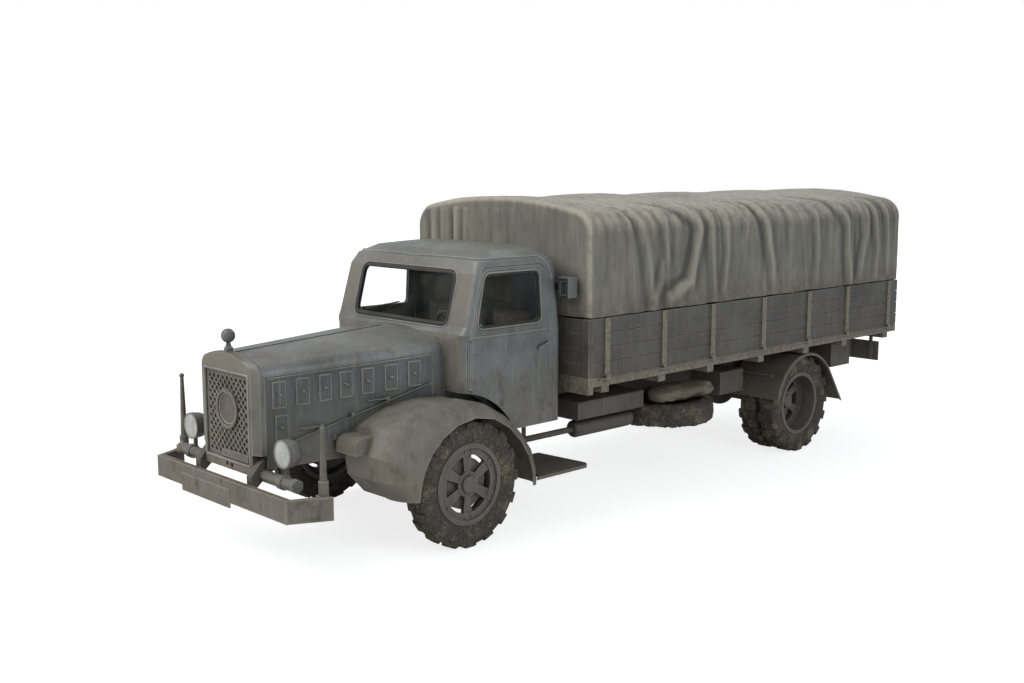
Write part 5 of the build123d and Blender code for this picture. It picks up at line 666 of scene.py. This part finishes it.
pads = [soft_pad(*row) for row in SEAT_PADS]
BOX_X, BOX_DEEP, BOX_Z, BOX_TALL = 1.584, 0.40, 1.012, 0.16
PRESSED_RIM, PRESSED_IN, BOX_ROUND = 0.030, 0.008, 0.006
seat_box = bmesh.new()
for low_y, high_y in ((0.220, 0.620), (-0.590, -0.010)):
    for vertex in bmesh.ops.create_cube(seat_box, size=1)["verts"]:
        x, y, z = vertex.co
        vertex.co = (BOX_X + BOX_DEEP * x, (low_y + high_y) / 2 + (high_y - low_y) * y, BOX_Z + BOX_TALL * z)
fronts = [face for face in seat_box.faces if abs(face.normal.x) > 0.5 or abs(face.normal.y) > 0.5]
bmesh.ops.inset_individual(seat_box, faces=fronts, thickness=PRESSED_RIM, depth=-PRESSED_IN)
bmesh.ops.bevel(seat_box, geom=[e for e in seat_box.edges if e.is_convex and e.calc_face_angle(0) > 1],
                offset=BOX_ROUND, segments=2, affect="EDGES")
box_mesh = bpy.data.meshes.new("seat_boxes")
seat_box.to_mesh(box_mesh)
seat_box.free()
seat_boxes = add_piece("seat_boxes", box_mesh, rim_black, "chassis", smooth=False)
for piece in (seat_boxes, *pads):
    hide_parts("seats")


# ---- mudguards and steps ----
# Domed steel pressings, pressed steps and sheet steel boxes in the body's grey, bolted to the
# frame and thick with the dust the wheels throw.
guard_grey = army_paint(
    "dusty_grey", (0.118, 0.120, 0.108), (0.31, 0.29, 0.24), (0.150, 0.128, 0.094), (0.35, 1.35), 0.8,
    0.30, rust=0.8, rough=0.5, facing=0.35, edge=0.010)
finish_nodes(guard_grey, "front_fenders")
under_grey = army_paint(
    "under_grey", (0.066, 0.066, 0.059), (0.24, 0.215, 0.17), (0.105, 0.088, 0.064), (0.35, 1.35), 0.7,
    0.35, rust=0.8, facing=0.35, edge=0.011)
finish_nodes(under_grey, "rear_fenders", "step_plates", "side_boxes", "rear_boxes")


# ---- bed, drop sides and tailgate ----
# Grey painted planks whose grain shows, bolted to steel straps and rails rubbed to a sandy tan.
# The planks' long edges are worn to the same tan between the straps.
BOARD_FACE, BOARD_LOW, BOARD_TOP, BOARDS = 1.1135, 1.195, 1.688, 4
plank_grey = army_paint(
    "plank_grey", (0.056, 0.058, 0.056), (0.25, 0.225, 0.175), (0.115, 0.100, 0.076), (0.9, 1.9), 0.45,
    0.12, edge=0.010, rust=0.5, streak=0.2, strap=(BOARD_FACE, 1.192, (0.185, 0.158, 0.116)))
finish_nodes(plank_grey, "bed_floor", "left_drop_side", "right_drop_side", "tailgate", "tarp_bows")
BOARD_STEP = (BOARD_TOP - BOARD_LOW + 0.005) / BOARDS
STRAP_PLACES, STRAP_CLEAR = (1.465, 2.220, 2.930, 3.745, 4.540, 5.280, 6.140), 0.036    # behind the axle
arris_tan = army_paint(
    "arris_tan", (0.150, 0.132, 0.100), (0.25, 0.225, 0.175), (0.115, 0.100, 0.076), (0.9, 1.9), 0.45,
    0.12, edge=0, rust=0.5)
for side, way in (("left", 1), ("right", -1)):
    points, faces = [], []
    for board in range(BOARDS):
        for lift in (0.004, BOARD_STEP - 0.009) if board else (BOARD_STEP - 0.009,):
            height = BOARD_LOW + board * BOARD_STEP + lift
            for ahead, behind in zip(STRAP_PLACES, STRAP_PLACES[1:]):
                low_x, high_x = AXLE_X - behind + STRAP_CLEAR, AXLE_X - ahead - STRAP_CLEAR
                edge = [(low_x + (high_x - low_x) * k / 12, height) for k in range(13)]
                laid = on_side(side + "_drop_side", edge, way)
                if len(laid[0]) == 13 and max(abs(place.y) for place in laid[0]) < BOARD_FACE:
                    add_bar(points, faces, laid, bead(0.0030, 0.0022, 0.002), False)
    name = side + "_board_arrises"
    add_piece(name, mesh_of(name, points, faces), arris_tan, "gate_" + side)


# ---- tarpaulin ----
# One heavy cotton canvas cover with sewn ends, drawn over five bent steel bows. It sags
# between the bows, breaks into deep hanging folds at the shoulders, and its hem is turned in.
canvas, tree, shader, own = new_finish("faded_canvas")
place = own["Object"]
height = knot(tree, "SeparateXYZ", {0: place}).outputs[2]
upward = knot(tree, "SeparateXYZ", {0: own["Normal"]}).outputs[2]
fold_light_and_shade = knot(tree, "Attribute", attribute_name="relief").outputs["Fac"]
cloud = grain(tree, place, 1.8, 6, 0.6)
brushed = grain(tree, place, 9, 6, 0.65, (2.2, 2.2, 0.35))
fibre = grain(tree, place, 90, 5, 0.7)
colour = blend(tree, spread(tree, cloud, 0.32, 0.68), (0.135, 0.130, 0.106, 1), (0.205, 0.196, 0.160, 1))
# painted highlight: what faces upward, the shoulders and roof, is painted paler
shoulder_highlight = times(tree, spread(tree, upward, 0.02, 0.5, 0.0, 0.85), spread(tree, cloud, 0.3, 0.55, 0.45, 1.0))
colour = blend(tree, shoulder_highlight, colour, (0.345, 0.312, 0.250, 1))
colour = blend(tree, spread(tree, brushed, 0.44, 0.68, 0.0, 0.6), colour, (0.090, 0.090, 0.078, 1))
# painted highlight on the fold crests and painted shade in the hollows between them, from the relief
colour = blend(tree, spread(tree, fold_light_and_shade, 0.15, 0.95, 0.0, 0.55), colour, (0.350, 0.320, 0.258, 1))
colour = blend(tree, spread(tree, fold_light_and_shade, -0.06, -0.9, 0.0, 0.80), colour, (0.045, 0.045, 0.041, 1))
worn_line = knot(tree, "Attribute", attribute_name="corner").outputs["Fac"]
worn_line = times(tree, worn_line, spread(tree, grain(tree, place, 12, 6, 0.7), 0.3, 0.6, 0.25, 0.95))
colour = blend(tree, worn_line, colour, (0.365, 0.335, 0.272, 1))
low = times(tree, spread(tree, height, 1.90, 1.70), spread(tree, grain(tree, place, 14, 6, 0.7), 0.35, 0.62))
colour = blend(tree, times(tree, low, 0.8), colour, (0.085, 0.062, 0.042, 1))
# painted shade: darker where nearby cloth and bows close the canvas in
colour = blend(tree, 1.0, colour, openness(tree, 0.10, 0.3, 0.9, 0.45, 1.0), "MULTIPLY")
wrinkled = times(tree, times(tree, brushed, 2.0), times(tree, fibre, 0.5), "ADD")
plug(tree, shader, {"Base Color": colour, "Roughness": 0.9, "Specular IOR Level": 0.2, "Sheen Weight": 0.15,
                    "Normal": lumpy(tree, wrinkled, 0.6, 0.010)})

cover_low, cover_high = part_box("tarp")
COVER_HALF = cover_high[1]
SHOULDER_DROP = 0.130        # from the crown down to where the roof's arc would meet the side
SHOULDER_ROUND, END_ROUND, CELL = 0.215, 0.055, 0.018
BOWS_X = (-3.861, -2.636, -1.411, -0.186, 1.039)
roof_radius = (COVER_HALF ** 2 + SHOULDER_DROP ** 2) / (2 * SHOULDER_DROP)
roof_middle = cover_high[2] - roof_radius
shoulder_y = COVER_HALF - SHOULDER_ROUND
shoulder_z = roof_middle + sqrt((roof_radius - SHOULDER_ROUND) ** 2 - shoulder_y ** 2)
roof_turn = asin(shoulder_y / (roof_radius - SHOULDER_ROUND))
side_run = shoulder_z - cover_low[2]
round_run = SHOULDER_ROUND * (pi / 2 - roof_turn)
half_run = side_run + round_run + roof_radius * roof_turn


def cover_section(run):
    """Across, height and outward direction on the left half, run metres up from the hem."""
    if run <= side_run:
        return COVER_HALF, cover_low[2] + run, 1.0, 0.0
    if run <= side_run + round_run:
        turned = (run - side_run) / SHOULDER_ROUND
        out, rise = cos(turned), sin(turned)
        return shoulder_y + SHOULDER_ROUND * out, shoulder_z + SHOULDER_ROUND * rise, out, rise
    turned = (half_run - run) / roof_radius
    out, rise = sin(turned), cos(turned)
    return roof_radius * out, roof_middle + roof_radius * rise, out, rise


corner_run = side_run + round_run / 2
side_cells, roof_cells = round(corner_run / CELL), round((half_run - corner_run) / CELL)
runs = [corner_run * i / side_cells for i in range(side_cells)]
runs += [corner_run + (half_run - corner_run) * i / roof_cells for i in range(roof_cells + 1)]
section = [cover_section(run) for run in runs]
section += [(-y, z, -out, rise) for y, z, out, rise in section[-2::-1]]
points, faces = [], []


def cover_panel(along, inset):
    """A flat end: the patch inside the last ring, rows up the sides and columns under the roof."""
    rim = [(y - out * inset, z - rise * inset) for y, z, out, rise in section]
    rows, columns, first = side_cells, 2 * roof_cells, len(points)
    for i in range(rows + 1):
        s = i / rows
        for j in range(columns + 1):
            t = j / columns
            bottom = (rim[0][0] + (rim[-1][0] - rim[0][0]) * t, rim[0][1])
            points.append((along, *((1 - s) * bottom[k] + s * rim[rows + j][k] + (1 - t) * rim[i][k]
                                    + t * rim[-1 - i][k] - (1 - s) * ((1 - t) * rim[0][k] + t * rim[-1][k])
                                    - s * ((1 - t) * rim[rows][k] + t * rim[rows + columns][k])
                                    for k in (0, 1))))
    for i in range(rows):
        for j in range(columns):
            a = first + i * (columns + 1) + j
            faces.append((a, a + 1, a + columns + 2, a + columns + 1))


rounding = [(END_ROUND * (1 - sin(turned)), END_ROUND * (1 - cos(turned)))
            for turned in (pi / 2 * i / 5 for i in range(1, 6))]
straight = cover_high[0] - cover_low[0] - 2 * END_ROUND
steps, wide = round(straight / CELL), len(section)
rings = [(cover_low[0] + ahead, inset) for ahead, inset in rounding[::-1]]
rings += [(cover_low[0] + END_ROUND + straight * i / steps, 0) for i in range(steps + 1)]
rings += [(cover_high[0] - ahead, inset) for ahead, inset in rounding]
for along, inset in rings:
    points.extend((along, y - out * inset, z - rise * inset) for y, z, out, rise in section)
for low in range(0, (len(rings) - 1) * wide, wide):
    faces.extend((low + i, low + wide + i, low + wide + i + 1, low + i + 1) for i in range(wide - 1))
cover_panel(cover_high[0], END_ROUND)
cover_panel(cover_low[0], END_ROUND)


def welded(name, points, faces, gap):
    """A mesh whose points closer than gap are joined, with every face turned outward."""
    mesh = mesh_of(name, points, faces)
    shaping = bmesh.new()
    shaping.from_mesh(mesh)
    bmesh.ops.remove_doubles(shaping, verts=shaping.verts, dist=gap)
    bmesh.ops.recalc_face_normals(shaping, faces=shaping.faces)
    shaping.to_mesh(mesh)
    shaping.free()
    mesh.update()
    return mesh


cover_mesh = welded("canvas_cover", points, faces, 0.0006)

# each fold's crest height and half width, then places (along, metres up from the hem) down each fold
SIDE_FOLDS = (
    (0.012, 0.040, (0.66, 1.10), (0.63, 0.98), (0.59, 0.45), (0.56, 0.0)),
    (0.024, 0.046, (0.58, 1.20), (0.54, 0.98), (0.39, 0.45), (0.31, 0.0)),
    (0.014, 0.040, (0.24, 1.15), (0.19, 0.98), (0.14, 0.45), (0.22, 0.2), (0.33, 0.0)),
    (0.030, 0.050, (0.10, 1.25), (-0.06, 0.98), (-0.28, 0.78), (-0.33, 0.68), (-0.26, 0.42), (-0.19, 0.21),
     (0.07, 0.08)),
    (0.016, 0.040, (-0.40, 1.2), (-0.50, 0.95), (-0.52, 0.45), (-0.58, 0.0)),
    (0.014, 0.036, (-0.62, 1.2), (-0.70, 0.95), (-0.75, 0.45), (-0.69, 0.0)),
    (0.012, 0.036, (-1.08, 1.2), (-1.15, 0.95), (-1.00, 0.5), (-1.02, 0.25)),
    (0.024, 0.046, (-1.12, 1.25), (-1.26, 0.95), (-1.40, 0.6), (-1.48, 0.3), (-1.52, 0.0)),
    (0.015, 0.040, (-1.70, 1.2), (-1.79, 0.95), (-1.80, 0.3), (-1.74, 0.1)),
    (0.018, 0.044, (-2.10, 1.2), (-2.22, 0.95), (-2.30, 0.4), (-2.26, 0.0)),
    (0.032, 0.054, (-2.44, 1.3), (-2.61, 0.98), (-2.86, 0.65), (-2.89, 0.35), (-2.95, 0.0)),
    (0.020, 0.044, (-3.05, 1.2), (-3.15, 0.95), (-3.22, 0.5), (-3.10, 0.0)),
    (0.015, 0.040, (-3.32, 1.2), (-3.40, 0.95), (-3.48, 0.4), (-3.44, 0.05)),
    (0.014, 0.040, (-3.62, 1.1), (-3.66, 0.8), (-3.70, 0.3), (-3.68, 0.0)))
FRONT_FOLDS = ((-0.016, 0.030, (-0.94, 1.02), (-0.93, 0.1)), (-0.014, 0.026, (-0.79, 1.06), (-0.80, 0.1)),
               (-0.018, 0.030, (-0.62, 1.08), (-0.61, 0.0)), (-0.015, 0.028, (-0.48, 1.06), (-0.49, 0.1)),
               (-0.010, 0.035, (-0.10, 1.06), (-0.08, 0.1)), (-0.009, 0.040, (0.12, 1.04), (0.15, 0.1)),
               (-0.006, 0.050, (0.62, 1.00), (0.60, 0.1)))


def fold_height(along, run, fold):
    """How far a fold lifts each point: a crest with a hollow on both sides, the deeper in front.

    It fades out over its last 0.45 m above the foot, unless that is the hem, and below its top.
    """
    tall, half, *line = fold
    near, ahead = np.full(len(along), 9.0), np.zeros(len(along))
    for (a0, r0), (a1, r1) in zip(line, line[1:]):
        da, dr = a1 - a0, r1 - r0
        t = np.clip(((along - a0) * da + (run - r0) * dr) / (da * da + dr * dr), 0, 1)
        off_a, off_r = along - a0 - t * da, run - r0 - t * dr
        off = np.hypot(off_a, off_r)
        ahead = np.where(off < near, off_a, ahead)
        near = np.minimum(near, off)
    hollow = np.exp(-((near - 1.9 * half) / (1.15 * half)) ** 2)
    foot, top = min(r for a, r in line), max(r for a, r in line)
    fade = np.clip((run - foot) / 0.45 + (0.8 if foot < 0.09 else 0), 0, 1)
    fade *= np.clip((top - run) / 0.35 + 0.1, 0, 1)
    fade *= 0.70 + 0.30 * np.clip(0.5 + 1.4 * np.sin(3.1 * run + 40 * half + 2.3 * line[0][0]), 0, 1)
    return tall * fade * (np.exp(-(near / half) ** 1.35) - hollow * np.where(ahead > 0, 0.80, 0.45))


def all_folds(along, run, folds):
    """The lift of all these folds together."""
    return sum(fold_height(along, run, fold) for fold in folds)


def loose_folds(seed, start, end, gap):
    """Smaller folds between the large ones."""
    chance = random.Random(seed)
    rows, at = [], start
    while at < end:
        foot = chance.uniform(0.0, 0.65)
        lean = chance.uniform(-0.12, 0.07)
        rows.append((chance.uniform(0.003, 0.012), chance.uniform(0.016, 0.040),
                     (at - lean, chance.uniform(0.85, 1.45)), (at, 0.92), (at + lean * 0.6, 0.5),
                     (at + lean + chance.uniform(-0.03, 0.03), foot)))
        at += gap * chance.uniform(0.6, 1.4)
    return rows


count = len(cover_mesh.vertices)
spots, outward = np.empty(count * 3), np.empty(count * 3)
cover_mesh.vertices.foreach_get("co", spots)
cover_mesh.vertices.foreach_get("normal", outward)
spots, outward = spots.reshape(-1, 3), outward.reshape(-1, 3)
x, y, z = spots.T
on_roof = z > shoulder_z + 0.18      # run is metres of cloth up from the hem, hang how freely it hangs
run = np.minimum(z - cover_low[2], side_run + round_run) + np.maximum(0, shoulder_y - np.abs(y)) * on_roof
hang = np.interp(run, (0, 0.10, 0.40, 0.95, 1.15, 1.35, 1.7), (0.55, 0.9, 1, 0.95, 0.6, 0.25, 0))
left = all_folds(x, run, SIDE_FOLDS) + all_folds(x, run, loose_folds(11, -3.85, 1.05, 0.115))
right = all_folds(x, run, loose_folds(29, -3.85, 1.05, 0.30)) * 1.7
right += all_folds(x, run, loose_folds(31, -3.85, 1.05, 0.12))
front = all_folds(y, run, FRONT_FOLDS)
rear = all_folds(y, run, loose_folds(5, -0.95, 0.95, 0.13)) * 0.9
end = np.clip((np.abs(outward[:, 0]) - 0.25) / 0.5, 0, 1)       # 1 on the front and rear ends
folds = hang * ((1 - end) * np.where(y > 0, left, right) + end * np.where(x > 0, front, rear))
LUMPS = ((3.1, 1.3, 0.0055), (9, 3.5, 0.0030), (26, 9, 0.0012))     # fineness across and down, height
rough_cloth = np.array([sum(noise.noise((fine * a, fine * b, tall * c)) * size for fine, tall, size in LUMPS)
                        for a, b, c in spots])
between = np.interp(x, BOWS_X, np.arange(5))
ROOF_SAG, MOST_OUT, MOST_IN, HEM_WAVE = 0.022, 0.022, 0.036, 0.009
sag = np.sin(np.pi * (between - np.floor(between))) ** 2 * np.interp(run, (0.5, 1.05), (0, ROOF_SAG))
lift = folds + rough_cloth * np.where(end > 0.5, 0.6, 1.0)
lift = np.where(lift > 0, MOST_OUT * np.tanh(lift / MOST_OUT), MOST_IN * np.tanh(lift / MOST_IN))
spots = spots + outward * (lift - sag * (1 - end) - 0.003)[:, None]
wave = np.array([HEM_WAVE * abs(noise.noise((4 * a, 4 * b, 0.5))) for a, b, c in spots])
spots[:, 2] += np.interp(run, (0, 0.05), (1, 0)) * wave
cover_mesh.vertices.foreach_set("co", spots.ravel())
facing = np.abs(outward[:, 0])
# relief drives the canvas's painted highlights on fold crests and painted shade in hollows
for name, values in (("relief", np.clip((folds + 0.6 * rough_cloth) / 0.018, -1, 1)),
                     ("corner", np.clip(1 - np.abs(facing - 0.66) / 0.42, 0, 1) * (facing < 0.99))):
    cover_mesh.attributes.new(name, "FLOAT", "POINT").data.foreach_set("value", values)
HEM = ((0.007, -0.004), (0.010, 0.024))      # how far each turn of the hem goes inward and up
HEM_MIDDLE, HEM_HALF = -1.41, 2.549
shaping = bmesh.new()
shaping.from_mesh(cover_mesh)
for inward, rise in HEM:
    rim = [edge for edge in shaping.edges if edge.is_boundary]
    turned_in = bmesh.ops.extrude_edge_only(shaping, edges=rim)["geom"]
    for vertex in (item for item in turned_in if isinstance(item, bmesh.types.BMVert)):
        along, across = vertex.co.x - HEM_MIDDLE, vertex.co.y
        if abs(across) > abs(along) - (HEM_HALF - COVER_HALF):
            vertex.co += Vector((0, -copysign(inward, across), rise))
        else:
            vertex.co += Vector((-copysign(inward, along), 0, rise))
shaping.to_mesh(cover_mesh)
shaping.free()
cover_mesh.update()
cover = add_piece("canvas_cover", cover_mesh, canvas, "chassis")
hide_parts("tarp")


# ---- mud caked on the spare wheel ----
# Clay thrown up by the front wheels, dried on in a thick cracked crust that wraps the spare
# tyre's tread and both its walls.
low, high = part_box("spare_wheel")
spare_out, spare_x = (high[0] - low[0]) / 2, (high[0] + low[0]) / 2
spare_y, spare_z, spare_half = high[1] - spare_out, 0.640, 0.102
WALL, CRUST = 0.150, 0.006      # the tyre wall's depth and the crust's mean thickness
CRUST_ROUND, CRUST_OVER, CRUST_TURN = 260, 44, 118
points, faces = [], []
for i in range(CRUST_ROUND):
    turned = 2 * pi * i / CRUST_ROUND
    c, s = cos(turned), sin(turned)
    for j in range(CRUST_OVER):
        tipped = radians(CRUST_TURN * (2 * j / (CRUST_OVER - 1) - 1))
        reach = 0.5 + 0.5 * copysign(abs(cos(tipped)) ** 0.55, cos(tipped))
        rise = copysign(abs(sin(tipped)) ** 0.62, sin(tipped))
        spot = Vector((spare_out * c, spare_out * s, spare_half * rise))
        crack = sum(deep * max(0, 1 - 9 * abs(noise.noise(spot * fine)))
                    for fine, deep in ((7, 0.010), (16, 0.006)))
        out = CRUST + 0.010 * noise.noise(spot * 9) + 0.004 * noise.noise(spot * 30) - crack
        away = spare_out - WALL * (1 - reach) + out * reach
        points.append((spare_x + away * c, spare_y + away * s, spare_z + (spare_half + out) * rise))
for i in range(CRUST_ROUND):
    for j in range(CRUST_OVER - 1):
        a, b = i * CRUST_OVER + j, (i + 1) % CRUST_ROUND * CRUST_OVER + j
        faces.append((a, b, b + 1, a + 1))
add_piece("spare_mud", mesh_of("spare_mud", points, faces), tyre_rubber, "chassis")


# ---- rolled canvas on the spare wheel ----
# A folded canvas ground sheet rolled up by hand and laid on the spare wheel, where it sags
# under its own weight, caked with dry mud.
low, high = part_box("stowed_roll")
middle = [(a + b) / 2 for a, b in zip(low, high)]
half = [(b - a) / 2 - 0.008 for a, b in zip(low, high)]
LENGTHWISE, AROUND, FLAT_FOOT = 110, 120, -0.97
points, faces = [], []
for i in range(LENGTHWISE + 1):
    t = 2 * i / LENGTHWISE - 1
    full = (1 - abs(t) ** 7) ** 0.5 if abs(t) < 1 else 0
    for j in range(AROUND):
        turned = 2 * pi * j / AROUND
        c, s = cos(turned), sin(turned)
        crease = 0.10 * abs(sin(1.5 * turned + 0.8 * noise.noise((3 * t, 0, 4)))) ** 0.6
        lump = 0.16 * noise.noise((2.6 * t, 1.4 * c, 1.4 * s)) + 0.07 * noise.noise((7 * t, 3 * c, 3 * s))
        size = full * min(1, 0.92 - crease * 0.6 + lump)
        rise = size * s ** 0.8 if s > 0 else max(FLAT_FOOT, 1.1 * size * s)
        points.append((middle[0] + half[0] * t * 0.985,
                       middle[1] + half[1] * size * copysign(abs(c) ** 0.8, c), middle[2] + half[2] * rise))
for i in range(LENGTHWISE):
    for j in range(AROUND):
        a, b = i * AROUND + j, i * AROUND + (j + 1) % AROUND
        faces.append((a, b, b + AROUND, a + AROUND))
roll_mesh = welded("canvas_roll", points, faces, 0.0005)
roll_cloth = army_paint(
    "muddy_canvas", (0.150, 0.132, 0.098), (0.28, 0.25, 0.19), (0.12, 0.092, 0.062), (0.2, 1.6), 0.7,
    0.3, edge=0, rough=0.9, streak=0.4, bump=0.8)
roll = add_piece("canvas_roll", roll_mesh, roll_cloth, "chassis")
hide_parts("stowed_roll")
